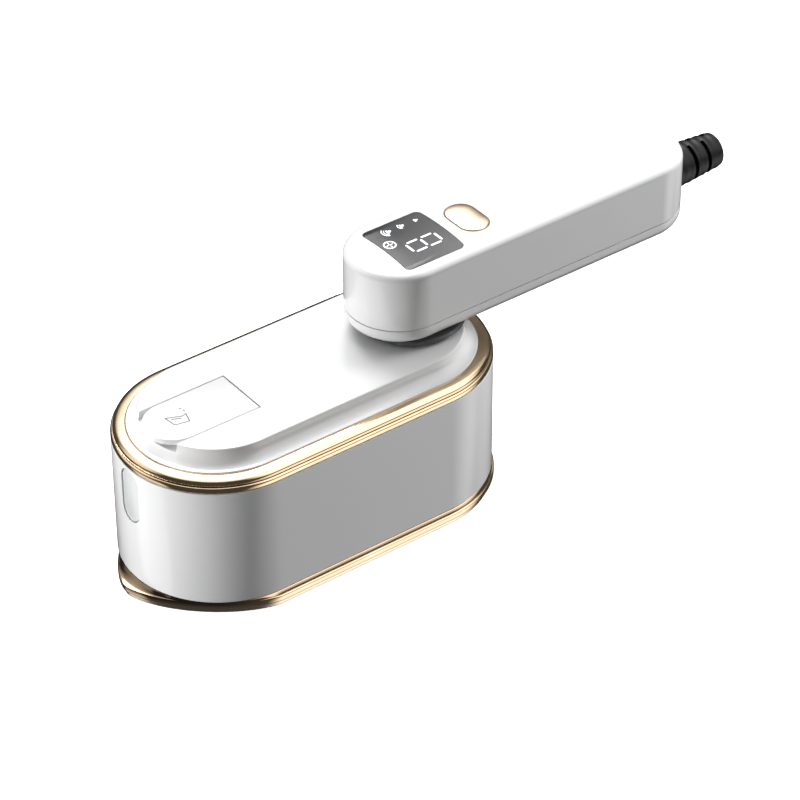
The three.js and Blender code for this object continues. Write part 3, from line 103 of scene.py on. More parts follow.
# %% Camera
AZIMUTH, ELEVATION, ROLL = (math.radians(angle) for angle in (-36.593, 36.724, -0.282))
CAMERA_PLACE = Vector((-529.8, -766.6, 742.1)) * MM

bpy.ops.object.camera_add(location=CAMERA_PLACE)
camera = bpy.context.object
camera.name = "camera"
camera.data.sensor_width = 36
camera.data.lens = 157.34
camera.rotation_mode = "QUATERNION"
backwards = Vector((
    math.sin(AZIMUTH) * math.cos(ELEVATION),
    -math.cos(AZIMUTH) * math.cos(ELEVATION),
    math.sin(ELEVATION),
))
level_view = (-backwards).to_track_quat("-Z", "Y")
camera.rotation_quaternion = level_view @ Quaternion((0, 0, 1), ROLL)
bpy.context.scene.camera = camera
print("camera at", [round(v, 4) for v in camera.location])

# %% [markdown]
# ## Writing a material as sums
# A material is a net of nodes. Long nets are hard to read, so a small class stands for one
# socket, and adding or multiplying two of them adds the Math node that does it. The `Net` class
# adds every other node, by one method that takes its kind, its settings and the values or links
# of its sockets.

# %% Sockets that do sums


def sum_with(operation, swapped=False):
    """A method that adds a Math node; swapped serves a number on the left, as in 1 - mask."""
    def method(self, other=0.0):
        first, second = (other, self) if swapped else (self, other)
        return self.net.node("Math", {"operation": operation}, {0: first, 1: second})
    return method


class Value:
    """One number or colour that varies, as the output socket of a node."""

    def __init__(self, net, socket):
        self.net, self.socket = net, socket

    __add__, __radd__ = sum_with("ADD"), sum_with("ADD", True)
    __sub__, __rsub__ = sum_with("SUBTRACT"), sum_with("SUBTRACT", True)
    __mul__, __rmul__ = sum_with("MULTIPLY"), sum_with("MULTIPLY", True)
    most, fraction = sum_with("MAXIMUM"), sum_with("FRACT")

    def ramp(self, low, high):
        """0 at low, 1 at high, and a smooth rise between."""
        return self.net.node("MapRange", {"interpolation_type": "SMOOTHSTEP"},
                             {"Value": self, "From Min": low, "From Max": high})


class Net:
    """A node tree, and the object coordinates or direction that its patterns read."""

    def __init__(self, tree, coordinates):
        self.tree = tree
        self.place = self.node("TexCoord", {}, {}, coordinates)

    def node(self, kind, settings, sockets, output=0):
        made_node = self.tree.nodes.new("ShaderNode" + kind)
        for key, value in settings.items():
            setattr(made_node, key, value)
        for key, value in sockets.items():
            if isinstance(value, Value):
                self.tree.links.new(value.socket, made_node.inputs[key])
            else:
                made_node.inputs[key].default_value = value
        return Value(self, made_node.outputs[output])

    def blend(self, share, first, second):
        """A colour between two others."""
        colours = [c if isinstance(c, Value) else (*c, 1) for c in (first, second)]
        return self.node("Mix", {"data_type": "RGBA"}, {0: share, 6: colours[0], 7: colours[1]}, 2)


print("classes ready:", Value.__name__, Net.__name__)

# %% [markdown]
# ## Light
# White plastic and gilt show their shape only by what they mirror. The room is a soft glow drawn
# on the world: bright behind, to the right and off the filler end, and dim where the camera
# stands. It could be a picture of a studio, but a few broad lobes of light are simpler and stay
# smooth. The glow has two parts, like lamps and reflecting cards: `soft` is what lights the
# surfaces, `mirrored` is what gloss and metal reflect. Three panels add the main light: from
# behind and above, close off the filler end, and off the far end.

# %% Room light
STUDIO_CENTRE = Vector((40, 0, 50)) * MM


def direction(azimuth, elevation):
    """The way to a point in the room, from angles in degrees; azimuth 0 is +X and 90 is +Y."""
    turn, rise = math.radians(azimuth), math.radians(elevation)
    level = math.cos(rise)
    return Vector((math.cos(turn) * level, math.sin(turn) * level, math.sin(rise)))


world = bpy.data.worlds.new("studio")
bpy.context.scene.world = world
world.use_nodes = True
room = Net(world.node_tree, "Generated")


def lobe(azimuth, elevation, core, edge):
    """1 within core degrees of a direction, fading to 0 at edge degrees."""
    facing = room.node("VectorMath", {"operation": "DOT_PRODUCT"},
                       {0: room.place, 1: direction(azimuth, elevation)}, "Value")
    return facing.ramp(math.cos(math.radians(edge)), math.cos(math.radians(core)))


soft = 0.12 + 0.95 * lobe(53, 62, 15, 52)
mirrored = (0.06 + 1.9 * lobe(53, 66, 10, 50) + 1.7 * lobe(-45, 38, 10, 36)
            + 1.0 * lobe(138, 30, 8, 30) + 1.4 * lobe(-52, -36, 12, 34)
            + 0.8 * lobe(155, -37, 15, 20))


def either(switch, off, on):
    """One value or the other, as a light path says."""
    path = room.node("LightPath", {}, {}, switch)
    return room.node("Mix", {"data_type": "FLOAT"}, {0: path, 2: off, 3: on})


strength = either("Is Camera Ray", either("Is Glossy Ray", soft, mirrored), 1.0)
backdrop = world.node_tree.nodes["Background"]
backdrop.inputs["Color"].default_value = (1, 1, 1, 1)
world.node_tree.links.new(strength.socket, backdrop.inputs["Strength"])
print("room glow has", len(world.node_tree.nodes), "nodes")

# %% Light panels


def light_panel(name, azimuth, elevation, distance, width, height, power, in_gloss=True):
    """A soft panel that faces the steamer from a direction."""
    way = direction(azimuth, elevation)
    bpy.ops.object.light_add(type="AREA", location=STUDIO_CENTRE + way * distance)
    panel = bpy.context.object
    panel.name = name
    panel.rotation_mode = "QUATERNION"
    panel.rotation_quaternion = (-way).to_track_quat("-Z", "Y")
    panel.data.shape = "RECTANGLE"
    panel.data.size, panel.data.size_y = width, height
    panel.data.energy = power
    panel.visible_glossy = in_gloss


light_panel("overhead_panel", 70, 56, 2.4, 1.2, 1.2, 44)
light_panel("filler_end_panel", 172, 2, 0.39, 0.2, 0.2, 1.2, in_gloss=False)
light_panel("far_end_panel", -12, 12, 1.5, 0.6, 0.9, 27, in_gloss=False)
bpy.context.scene.view_settings.view_transform = "Standard"

# %% [markdown]
# ## One class for each finish
# Every pattern reads Object coordinates, so that it stays put while a part moves and is the same
# size on every part. `noise` and `cells` give the raw patterns. The varying numbers feed the
# base colour, the roughness, the metal share, the emission colour and the bump.

# %% The Finish class


class Finish(Net):
    """A procedural material: patterns in, one Principled shader out."""

    def __init__(self, name, **constants):
        self.material = bpy.data.materials.new(name)
        self.material.use_nodes = True
        super().__init__(self.material.node_tree, "Object")
        self.shader = self.tree.nodes["Principled BSDF"]
        for socket, value in constants.items():
            self.shader.inputs[socket.replace("_", " ")].default_value = value

    def stretched(self, x, y, z):
        """The object's coordinates with each axis scaled, for brushed and drawn patterns."""
        return self.node("Mapping", {}, {"Vector": self.place, "Scale": (x, y, z)})

    def noise(self, per_metre, detail=4.0, place=None):
        return self.node("TexNoise", {}, {"Vector": place or self.place, "Scale": per_metre,
                                          "Detail": detail}, "Fac")

    def cells(self, per_metre, feature="F1"):
        return self.node("TexVoronoi", {"feature": feature},
                         {"Vector": self.place, "Scale": per_metre}, "Distance")

    def axis(self, name):
        """One coordinate of the point being shaded, in metres."""
        return self.node("SeparateXYZ", {}, {"Vector": self.place}, name)

    def bump(self, height, depth):
        """Raises the surface by height times depth, in metres."""
        return self.node("Bump", {}, {"Height": height, "Distance": depth})

    def set(self, **sockets):
        for name, value in sockets.items():
            self.tree.links.new(value.socket, self.shader.inputs[name.replace("_", " ")])
        return self.material


print("finish class ready:", Finish.__name__)

# %% [markdown]
# ## Glossy white plastic
# The shells are moulded in white plastic and polished. Real ones are never perfectly even: the
# tint drifts a little, fine hairlines catch the light, and handling dulls them in patches. The
# tint and the gloss are varied by slow noise, and the hairlines come from noise drawn out along
# one axis. A clear coat gives the sharp second reflection that polished plastic has.

# %% White plastic


def white_plastic():
    white = Finish("white_plastic", Coat_Weight=0.45, Coat_Roughness=0.03, IOR=1.47)
    drift = white.noise(28, 3)
    hairlines = white.noise(700, 2, place=white.stretched(1, 0.04, 0.3)).ramp(0.62, 0.75)
    handled = white.noise(55, 5).ramp(0.45, 0.75)
    specks = white.cells(900).ramp(0.05, 0.02)
    tint = white.blend(drift, (0.86, 0.865, 0.87), (0.90, 0.90, 0.895))
    tint = white.blend(specks * 0.05, tint, (0.55, 0.53, 0.50))
    gloss = 0.10 + 0.05 * handled + 0.07 * hairlines
    ripple = white.bump(white.noise(160, 2), 0.00002)
    return white.set(Base_Color=tint, Roughness=gloss, Normal=ripple)


WHITE = white_plastic()
print(WHITE.name, len(WHITE.node_tree.nodes), "nodes")

# %% [markdown]
# ## Gilt trims
# The skirt, the band, the ring and the button are champagne-gilt metal. A metal's base colour is
# the colour of its mirror image, so it is kept light and warm. The plating is a little cloudy,
# has fine polishing marks along its length, and is rubbed paler where hands meet it. A thin coat
# stands for the lacquer over the gilding. Low on the skirt's nose, towards the filler end, the
# colour is painted dark brown: painted shade, for the shadow under the shell's edge and the dark
# reflection there.

# %% Gilt metal


def gilt(name, light, deep, gloss, hollow=False):
    metal = Finish(name, Metallic=1.0, Coat_Weight=0.25, Coat_Roughness=0.05)
    cloud = metal.noise(45, 4)
    polish = metal.noise(900, 2, place=metal.stretched(0.05, 0.05, 1))
    rubbed = metal.noise(90, 6).ramp(0.52, 0.72)
    colour = metal.blend(cloud, deep, light)
    colour = metal.blend(rubbed * 0.25, colour, (0.93, 0.80, 0.63))
    if hollow:
        # Painted shade: low on the nose, towards the filler end, the colour is blended to dark
        # brown for the shadow under the shell's edge and the dark reflection there.
        sunk = metal.axis("Z").ramp(2.7 * MM, 4.4 * MM) * metal.axis("X").ramp(-38 * MM, -56 * MM)
        colour = metal.blend(sunk * 0.86, colour, (0.12, 0.085, 0.055))
    roughness = gloss + 0.06 * cloud + 0.05 * polish.ramp(0.5, 0.7)
    return metal.set(Base_Color=colour, Roughness=roughness,
                     Normal=metal.bump(polish, 0.000004))


GILT = gilt("champagne_gilt", (0.90, 0.70, 0.47), (0.80, 0.59, 0.38), 0.09)
# The skirt's finish carries the painted shade on its nose (hollow=True).
SKIRT_FINISH = gilt("champagne_skirt", (0.86, 0.66, 0.44), (0.76, 0.55, 0.35), 0.1, hollow=True)
SOLE_FINISH = gilt("champagne_sole", (0.86, 0.73, 0.56), (0.76, 0.62, 0.46), 0.2)
BUTTON_FINISH = gilt("champagne_button", (0.93, 0.74, 0.55), (0.86, 0.64, 0.46), 0.24)
print([m.name for m in (GILT, SOLE_FINISH, BUTTON_FINISH)])

# %% [markdown]
# ## Drawing a section
# Most of the skin is a stadium with one section all the way round: the shell, both gilt trims,
# the cover. Such a piece could be a lofted surface or a bevelled block, but the surest way is a
# potter's way: draw the section once, spin it round one end, pull it straight to the middle and
# mirror it. The section is given as corners, each with its own rounding, and starts as one point
# of a plane, extruded from corner to corner.

# %% Sections with rounded corners
TINY = 1e-6


def rounded(corners, steps=5):
    """Points along a section. Corners are (distance out, height, rounding), in metres."""
    points = []
    for i, (out, height, rounding) in enumerate(corners):
        here = Vector((out, height))
        if not rounding:
            points.append(here)
            continue
        back = (Vector(corners[i - 1][:2]) - here).normalized()
        onward = (Vector(corners[(i + 1) % len(corners)][:2]) - here).normalized()
        turn = math.pi - back.angle(onward)
        reach = rounding * math.tan(turn / 2)
        first, last = here + back * reach, here + onward * reach
        for k in range(steps + 1):
            t = k / steps
            a, b, c = (1 - t) ** 2, 2 * t * (1 - t) * math.cos(turn / 2), t * t
            points.append((first * a + here * b + last * c) / (a + b + c))
    return points


def only(piece):
    """Selects one object and makes it the active one."""
    bpy.ops.object.select_all(action="DESELECT")
    piece.select_set(True)
    bpy.context.view_layer.objects.active = piece


def newest(name):
    """The object that an operator has just added, with its name."""
    piece = bpy.context.object
    piece.name = piece.data.name = name
    return piece


def edit_all():
    """Edit mode, with the whole mesh selected."""
    bpy.ops.object.mode_set(mode="EDIT")
    bpy.ops.mesh.select_all(action="SELECT")


def pull(*way):
    """Extrudes what is selected and moves it."""
    bpy.ops.mesh.extrude_region_move(TRANSFORM_OT_translate={"value": way})


def choose(piece, test, kind="vertices"):
    """In edit mode, selects only the vertices, edges or polygons whose middle passes the test."""
    bpy.ops.object.mode_set(mode="EDIT")
    mode = {"vertices": "VERT", "edges": "EDGE", "polygons": "FACE"}[kind]
    bpy.ops.mesh.select_mode(type=mode)
    bpy.ops.mesh.select_all(action="DESELECT")
    bpy.ops.object.mode_set(mode="OBJECT")
    mesh = piece.data
    for item in getattr(mesh, kind):
        if kind == "vertices":
            middle = item.co
        elif kind == "edges":
            middle = (mesh.vertices[item.vertices[0]].co + mesh.vertices[item.vertices[1]].co) / 2
        else:
            middle = item.center
        item.select = bool(test(middle))
    bpy.ops.object.mode_set(mode="EDIT")


def draw_section(name, points, x):
    """A chain of edges in the upright plane at x, on the -Y side of the axis."""
    bpy.ops.object.select_all(action="DESELECT")
    bpy.ops.mesh.primitive_plane_add(size=MM)
    piece = newest(name)
    bpy.ops.object.mode_set(mode="EDIT")
    bpy.ops.mesh.merge(type="CENTER")
    here = Vector((0, 0, 0))
    for i, (out, height) in enumerate(points):
        there = Vector((x, -out, height))
        if i:
            pull(*(there - here))
        else:
            bpy.ops.transform.translate(value=there - here)
        here = there
    return piece


def tidy_solid(piece, fill=False):
    """Merges doubled points, closes open ends and turns every face outwards."""
    bpy.ops.object.mode_set(mode="EDIT")
    bpy.ops.mesh.select_mode(type="VERT")
    bpy.ops.mesh.select_all(action="SELECT")
    bpy.ops.mesh.remove_doubles(threshold=TINY)
    if fill:
        bpy.ops.mesh.fill_holes(sides=0)
    bpy.ops.mesh.select_all(action="SELECT")
    bpy.ops.mesh.normals_make_consistent(inside=False)
    bpy.ops.object.mode_set(mode="OBJECT")
    return piece


def apply_modifier(piece, kind, **settings):
    """Adds a modifier, sets it and applies it, as the properties panel would."""
    only(piece)
    modifier = piece.modifiers.new(kind.lower(), kind)
    for key, value in settings.items():
        setattr(modifier, key, value)
    bpy.ops.object.modifier_apply(modifier=modifier.name)
    return piece


print("rounded corner of 2 mm:", [tuple(round(c / MM, 2) for c in p)
                                 for p in rounded([(0, 0, 0), (0.01, 0, 0.002), (0.01, 0.01, 0)])])

# %% [markdown]
# ## Sweeping a section round a stadium
# The spin tool turns the section through half a turn about the end's centre. Its first and last
# copies are then extruded to the middle, and the Mirror modifier makes the other half. A section
# that is a closed loop gives a ring; an open one leaves a hole above and a hole inside, which are
# filled. A finished piece is shaded smooth except at corners sharper than thirty degrees.

# %% Stadium sweep, lathe and block
SMOOTH_ANGLE = math.radians(30)


def sweep_stadium(name, corners, half, middle=0.0, ring=True, steps=48, rounding_steps=5):
    points = rounded(corners, rounding_steps)
    piece = draw_section(name, points + points[:1] if ring else points, half)
    bpy.ops.mesh.select_all(action="SELECT")
    bpy.ops.mesh.spin(steps=steps, angle=math.pi, center=(half, 0, 0), axis=(0, 0, -1))
    pull(-half, 0, 0)
    choose(piece, lambda at: at.y < 0 and abs(at.x - half) < TINY)
    pull(-half, 0, 0)
    bpy.ops.object.mode_set(mode="OBJECT")
    apply_modifier(piece, "MIRROR", merge_threshold=TINY)
    tidy_solid(piece, fill=not ring)
    return moved(piece, (middle, 0, 0))


def lathe(name, corners, centre=(0, 0, 0), steps=96, ring=True, rounding_steps=5):
    """A turned piece about an upright axis."""
    points = rounded(corners, rounding_steps)
    piece = draw_section(name, points + points[:1] if ring else points, 0)
    bpy.ops.mesh.select_all(action="SELECT")
    bpy.ops.mesh.spin(steps=steps, angle=2 * math.pi, center=(0, 0, 0), axis=(0, 0, 1))
    tidy_solid(piece, fill=not ring)
    return moved(piece, centre)


def moved(piece, shift=(0, 0, 0), turn=0.0, axis="Z"):
    """Turns a piece about the origin and shifts it, all in its mesh."""
    edit_all()
    if turn:
        bpy.ops.transform.rotate(value=-turn, orient_axis=axis, center_override=(0, 0, 0))
    bpy.ops.transform.translate(value=shift)
    bpy.ops.object.mode_set(mode="OBJECT")
    return piece


def block(name, low, high):
    """A cutting block between two corners."""
    bpy.ops.object.select_all(action="DESELECT")
    size = [b - a for a, b in zip(low, high)]
    bpy.ops.mesh.primitive_cube_add(size=1, location=[(a + b) / 2 for a, b in zip(low, high)],
                                    scale=size)
    bpy.ops.object.transform_apply(location=True, rotation=True, scale=True)
    return newest(name)


def rod(name, radius, low, high, across="Z", centre=(0, 0), steps=64):
    """A round rod along an axis; centre is its place on the other two axes, in order."""
    bpy.ops.object.select_all(action="DESELECT")
    bpy.ops.mesh.primitive_cylinder_add(vertices=steps, radius=radius, depth=high - low)
    piece = newest(name)
    along, (first, second) = (low + high) / 2, centre
    if across == "X":
        return moved(piece, (along, first, second), math.pi / 2, "Y")
    if across == "Y":
        return moved(piece, (first, along, second), math.pi / 2, "X")
    return moved(piece, (first, second, along))


def stadium_block(name, radius, half, low, high, steps=64):
    """A solid stadium: one half of a cylinder is pulled away from the other."""
    piece = rod(name, radius, low, high, steps=steps)
    edit_all()
    bpy.ops.mesh.bisect(plane_co=(0, 0, 0), plane_no=(1, 0, 0))
    choose(piece, lambda at: at.x > 0, "polygons")
    pull(2 * half, 0, 0)
    bpy.ops.object.mode_set(mode="OBJECT")
    return moved(tidy_solid(piece), (-half, 0, 0))


def leaf_block(name, flat_x, centre_x, radius, low, high):
    """A block with a round -X end and a flat +X end, as the flap and its pocket have."""
    piece = rod(name, radius, low, high, centre=(centre_x, 0))
    edit_all()
    bpy.ops.mesh.bisect(plane_co=(centre_x, 0, 0), plane_no=(1, 0, 0), use_fill=True,
                        clear_outer=True)
    pull(flat_x - centre_x, 0, 0)
    bpy.ops.object.mode_set(mode="OBJECT")
    return tidy_solid(piece)


def combine(piece, operation, *tools):
    """Cuts, joins or overlaps a piece with others, which are used up."""
    for tool in tools:
        apply_modifier(piece, "BOOLEAN", operation=operation, object=tool, solver="EXACT")
        bpy.data.objects.remove(tool, do_unlink=True)
    return piece


def soften(piece, width, segments=3, angle=40):
    """Rounds every corner sharper than the angle."""
    return apply_modifier(piece, "BEVEL", width=width, segments=segments, limit_method="ANGLE",
                          angle_limit=math.radians(angle), use_clamp_overlap=True)


def finish_piece(piece, body, slot, material, *nodes):
    """Shades a finished piece, gives it its material, hangs it on the body it rides on and hides
    the CAD nodes it stands for.
    """
    only(piece)
    bpy.ops.object.shade_smooth_by_angle(angle=SMOOTH_ANGLE)
    piece.data.materials.clear()
    piece.data.materials.append(material)
    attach(piece, body)
    if nodes:
        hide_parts(*nodes)
    print(f"{piece.name}: {len(piece.data.polygons)} faces on {body}")


# %% [markdown]
# ## The side shell
# The shell is a straight white tube of stadium plan. Its rims are rounded, because a moulded edge
# is never sharp and the rounding draws the thin bright lines along the seams. A slot in the
# filler end lets the water level be seen; a second, slightly smaller slot gives the clear pane in
# it.

# %% Side shell
SHELL_WALL = 2.5 * MM
RIM = 0.4 * MM
shell = sweep_stadium("side_shell_skin", [
    (HEAD_RADIUS, SHELL_FOOT, RIM),
    (HEAD_RADIUS, SHELL_TOP, RIM),
    (HEAD_RADIUS - SHELL_WALL, SHELL_TOP, RIM / 2),
    (HEAD_RADIUS - SHELL_WALL, SHELL_FOOT, RIM / 2),
], HEAD_HALF, steps=96)


WINDOW_GAP = 0.42 * MM


def window_slot(name, grow):
    """An upright stadium bar through the filler end, the size of the window plus grow."""
    low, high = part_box("level_window")
    radius = (high[1] - low[1]) / 2 + grow
    half = (high[2] - low[2]) / 2 + grow - radius
    outside = -1.1 * (HEAD_HALF + HEAD_RADIUS)
    bar = stadium_block(name, radius, half, outside, -HEAD_HALF - HEAD_RADIUS / 2)
    moved(bar, turn=math.pi / 2, axis="Y")
    return moved(bar, (0, 0, (low[2] + high[2]) / 2))


combine(shell, "DIFFERENCE", window_slot("slot", WINDOW_GAP))
finish_piece(shell, "head", "white_shell", WHITE, "side_shell")

# %% [markdown]
# ## The level window
# The pane is clear plastic, curved like the shell and set in a little behind it. It is the
# overlap of a thin ring and an upright bar, with its edge rounded like a lens. Clear plastic
# would show the tank only; the real one is milky, so the body is mostly pale and lets a little
# light through.

# %% Level window


def milky_plastic():
    pane = Finish("milky_plastic", Transmission_Weight=0.12, IOR=1.49, Coat_Weight=0.4)
    cloud = pane.noise(120, 3)
    lime = pane.noise(420, 5).ramp(0.55, 0.8) * pane.axis("Z").ramp(0.045, 0.03)
    colour = pane.blend(cloud, (0.78, 0.80, 0.81), (0.88, 0.89, 0.89))
    colour = pane.blend(lime * 0.3, colour, (0.93, 0.93, 0.91))
    return pane.set(Base_Color=colour, Roughness=0.09 + 0.12 * lime + 0.04 * cloud)


PANE_FACE, PANE_BACK = HEAD_RADIUS - 0.4 * MM, HEAD_RADIUS - 2.1 * MM
pane_low, pane_high = levels("level_window")
pane = sweep_stadium("level_window_pane", [
    (PANE_FACE, pane_low - RIM, 0),
    (PANE_FACE, pane_high + RIM, 0),
    (PANE_BACK, pane_high + RIM, 0),
    (PANE_BACK, pane_low - RIM, 0),
], HEAD_HALF, steps=96)
combine(pane, "INTERSECT", window_slot("pane_bar", 0))
soften(pane, 0.3 * MM)
finish_piece(pane, "head", "clear_plastic", milky_plastic(), "level_window")

# %% [markdown]
# ## The gilt band and ring
# Two gilt rings close the shell. The lower one stands flush with it, with generous roundings. The
# upper one is set back by a step, which makes the dark crease between them, and rises in a
# quarter ellipse to the cover. A small bead along its foot catches a line of light.

# %% Gilt band and ring
band_foot, band_top = levels("trim_band")
ring_foot, ring_top = levels("trim_ring")
RING_INNER = HEAD_RADIUS - 4.9 * MM
RING_RADIUS = stadium_of("trim_ring")[0]
band = sweep_stadium("gilt_band", [
    (HEAD_RADIUS, band_foot, 0.45 * MM),
    (HEAD_RADIUS, band_top, 0.8 * MM),
    (RING_INNER, band_top, 0.3 * MM),
    (RING_INNER, band_foot, 0.3 * MM),
], HEAD_HALF, steps=64)
finish_piece(band, "head", "gold_trim", GILT, "trim_band")

BEAD = 0.35 * MM
arch = []
for k in range(15):
    angle = k / 15 * math.pi / 2
    arch.append((RING_INNER + (RING_RADIUS - RING_INNER - 0.5 * BEAD) * math.cos(angle) ** 0.8,
                 ring_foot + BEAD + (ring_top - ring_foot - BEAD) * math.sin(angle) ** 0.8, 0))
ring = sweep_stadium("gilt_ring", [
    (RING_RADIUS - BEAD, ring_foot, 0.15 * MM),
    (RING_RADIUS, ring_foot + BEAD / 3, 0.15 * MM),
    (RING_RADIUS, ring_foot + BEAD, 0.1 * MM),
    *arch,
    (RING_INNER, ring_top, 0.1 * MM),
    (RING_INNER, ring_foot, 0.2 * MM),
], HEAD_HALF, steps=64, rounding_steps=3)
finish_piece(ring, "head", "gold_trim", GILT, "trim_ring")

# %% [markdown]
# ## The sole and its skirt
# The sole's filler end is drawn out to a nose, so that it can be pushed between buttons. In plan
# the nose is a curve between an ellipse and a diamond, so it is worked on the points as numbers:
# each moves by its share, and the share fades to nothing where the skirt meets the round shell.
# The skirt flares from the shell down to a lip, in a hollow curve.

# %% Sole and skirt
NOSE_REACH = 3.4 * MM
NOSE_POWER = 1.5
sole_foot, sole_top = levels("soleplate")
skirt_foot, skirt_top = levels("sole_skirt")
SOLE_RADIUS = stadium_of("soleplate")[0]
LIP_RADIUS = stadium_of("sole_skirt")[0]
LIP_TOP = skirt_foot + 2.3 * MM


def draw_nose(piece, radius, full, none):
    """Draws the -X end to a nose: fully up to the height full, and not at all above none."""
    mesh = piece.data
    at = np.empty(len(mesh.vertices) * 3)
    mesh.vertices.foreach_get("co", at)
    at = at.reshape(-1, 3)
    ahead = np.minimum(at[:, 0] + HEAD_HALF, 0)
    out = np.maximum(np.hypot(ahead, at[:, 1]), TINY)
    long_way = np.abs(ahead / out) / (1 + NOSE_REACH / radius)
    nose = (long_way ** NOSE_POWER + np.abs(at[:, 1] / out) ** NOSE_POWER) ** (-1 / NOSE_POWER)
    share = np.clip((none - at[:, 2]) / (none - full), 0, 1) ** 1.6
    rim = np.clip((out / HEAD_RADIUS - 0.8) / 0.15, 0, 1) * (ahead < 0)
    grow = 1 + share * rim * (nose - 1)
    at[:, 0] += ahead * (grow - 1)
    at[:, 1] *= grow
    mesh.vertices.foreach_set("co", at.ravel())
    mesh.update()


SKIRT_INNER = HEAD_RADIUS - 5.8 * MM
flare = [(LIP_RADIUS - 0.45 * MM - (LIP_RADIUS - HEAD_RADIUS - 0.15 * MM) * t ** 0.6,
          LIP_TOP + (skirt_top - LIP_TOP) * t, 0) for t in (0.12, 0.3, 0.5, 0.7, 0.85)]
skirt = sweep_stadium("gilt_skirt", [
    (LIP_RADIUS, skirt_foot, 0.7 * MM),
    (LIP_RADIUS, LIP_TOP, 0.45 * MM),
    *flare,
    (HEAD_RADIUS - 0.6 * MM, skirt_top, 0),
    (SKIRT_INNER, skirt_top, 0.2 * MM),
    (SKIRT_INNER, skirt_foot, 0.2 * MM),
], HEAD_HALF, steps=96)
draw_nose(skirt, LIP_RADIUS, LIP_TOP, skirt_top)
finish_piece(skirt, "head", "gold_trim", SKIRT_FINISH, "sole_skirt")

sole = sweep_stadium("sole_plate", [
    (SOLE_RADIUS - 8 * MM, sole_foot, 0),
    (SOLE_RADIUS, sole_foot, 0.6 * MM),
    (SOLE_RADIUS, sole_top, 0.3 * MM),
    (SOLE_RADIUS - 8 * MM, sole_top, 0),
], HEAD_HALF, ring=False, steps=96)
draw_nose(sole, SOLE_RADIUS, sole_top, sole_top + MM)
print("sole reaches", round(min(v.co.x for v in sole.data.vertices) / MM, 2), "mm")

# %% [markdown]
# ## Steam holes
# Steam leaves through a ring of small holes, drilled and slightly countersunk, and the sole's
# face has a shallow pressed field inside them. The holes follow the chamber above, so they are
# spaced along a smaller stadium: five round each end and three along each side.

# %% Steam holes
STEAM_RING = 10.5 * MM
HOLE_RADIUS = 1.3 * MM
FIELD_RADIUS, FIELD_DEPTH = 6 * MM, 0.3 * MM
hole_places = []
for side in (1, -1):
    for k in range(5):
        turn = (k / 4 - 0.5) * math.pi
        hole_places.append((side * (HEAD_HALF + STEAM_RING * math.cos(turn)),
                            side * STEAM_RING * math.sin(turn)))
    for x in (-HEAD_HALF / 2, 0, HEAD_HALF / 2):
        hole_places.append((x, side * STEAM_RING))
combine(sole, "DIFFERENCE", stadium_block("field", FIELD_RADIUS, HEAD_HALF, -MM, FIELD_DEPTH))
for x, y in hole_places:
    drill = lathe("drill", [
        (0.01 * MM, -MM, 0), (HOLE_RADIUS + 1.4 * MM, -MM, 0), (HOLE_RADIUS, 0.4 * MM, 0),
        (HOLE_RADIUS, 3 * MM, 0), (0.01 * MM, 3 * MM, 0),
    ], (x, y, 0), steps=24, ring=False)
    combine(sole, "DIFFERENCE", drill)
finish_piece(sole, "head", "sole_metal", SOLE_FINISH, "soleplate")

# %% [markdown]
# ## The top cover
# The cover rises from the ring in a hollow cove to a flat plateau. It is swept twice, once for
# the outside and once for the hollow, and the hollow is cut out of the solid. Under the flap a
# thick leaf-shaped pad is kept, so the pocket in it has a floor. Then the pocket, the hinge's
# groove, the filler's mouth and the swivel's hole are cut, each by a block of the right shape.
# The pocket runs straight out through the cove, which leaves a small dark corner on each side of
# the flap's tip.

# %% Top cover
cover_foot = levels("top_cover")[0]
COVER_RADIUS = stadium_of("top_cover")[0]
PLATEAU_RADIUS = COVER_RADIUS - 4.5 * MM
COVE_TURN = [math.radians(a) for a in range(6, 90, 6)]
cove_start = TOP_LEVEL - 0.75 * MM
cove = [(PLATEAU_RADIUS + (COVER_RADIUS - PLATEAU_RADIUS) * (1 - math.cos(a)),
         cove_start - (cove_start - ring_top - 0.2 * MM) * math.sin(a), 0) for a in COVE_TURN]
cover = sweep_stadium("top_cover_skin", [
    (PLATEAU_RADIUS - 2 * MM, TOP_LEVEL, 0),
    (PLATEAU_RADIUS, TOP_LEVEL, 0.6 * MM),
    *cove,
    (COVER_RADIUS, ring_top + 0.1 * MM, 0.15 * MM),
    (COVER_RADIUS, cover_foot, 0.2 * MM),
    (COVER_RADIUS - 4 * MM, cover_foot, 0),
], HEAD_HALF, ring=False, steps=64)
hollow = sweep_stadium("hollow", [
    (PLATEAU_RADIUS - 3 * MM, TOP_LEVEL - 2.2 * MM, 0),
    (PLATEAU_RADIUS - 1.6 * MM, TOP_LEVEL - 2.2 * MM, 0),
    (COVER_RADIUS - 2.2 * MM, ring_top - 0.6 * MM, 0),
    (COVER_RADIUS - 2.2 * MM, cover_foot - MM, 0),
    (PLATEAU_RADIUS - 3 * MM, cover_foot - MM, 0),
], HEAD_HALF, ring=False, steps=32)

flap_low, flap_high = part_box("filler_flap")
FLAP_RADIUS = (flap_high[1] - flap_low[1]) / 2
FLAP_CENTRE = flap_low[0] + FLAP_RADIUS
FLAP_REAR = flap_high[0]
pin_low, pin_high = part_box("flap_hinge_pin")
HINGE = middle_of("flap_hinge_pin")[::2]
KNUCKLE_RADIUS, PIN_HOLE, SWIVEL_HOLE = 2.44 * MM, 1 * MM, 11.3 * MM
MARGIN = 0.4 * MM
POCKET_FLOOR = TOP_LEVEL - 3 * MM
seal_low, seal_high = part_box("filler_seal")
FILL_X = middle_of("filler_seal")[0]
SEAL_RADIUS = (seal_high[1] - seal_low[1]) / 2
PIVOT_X = middle_of("pivot_shaft")[0]

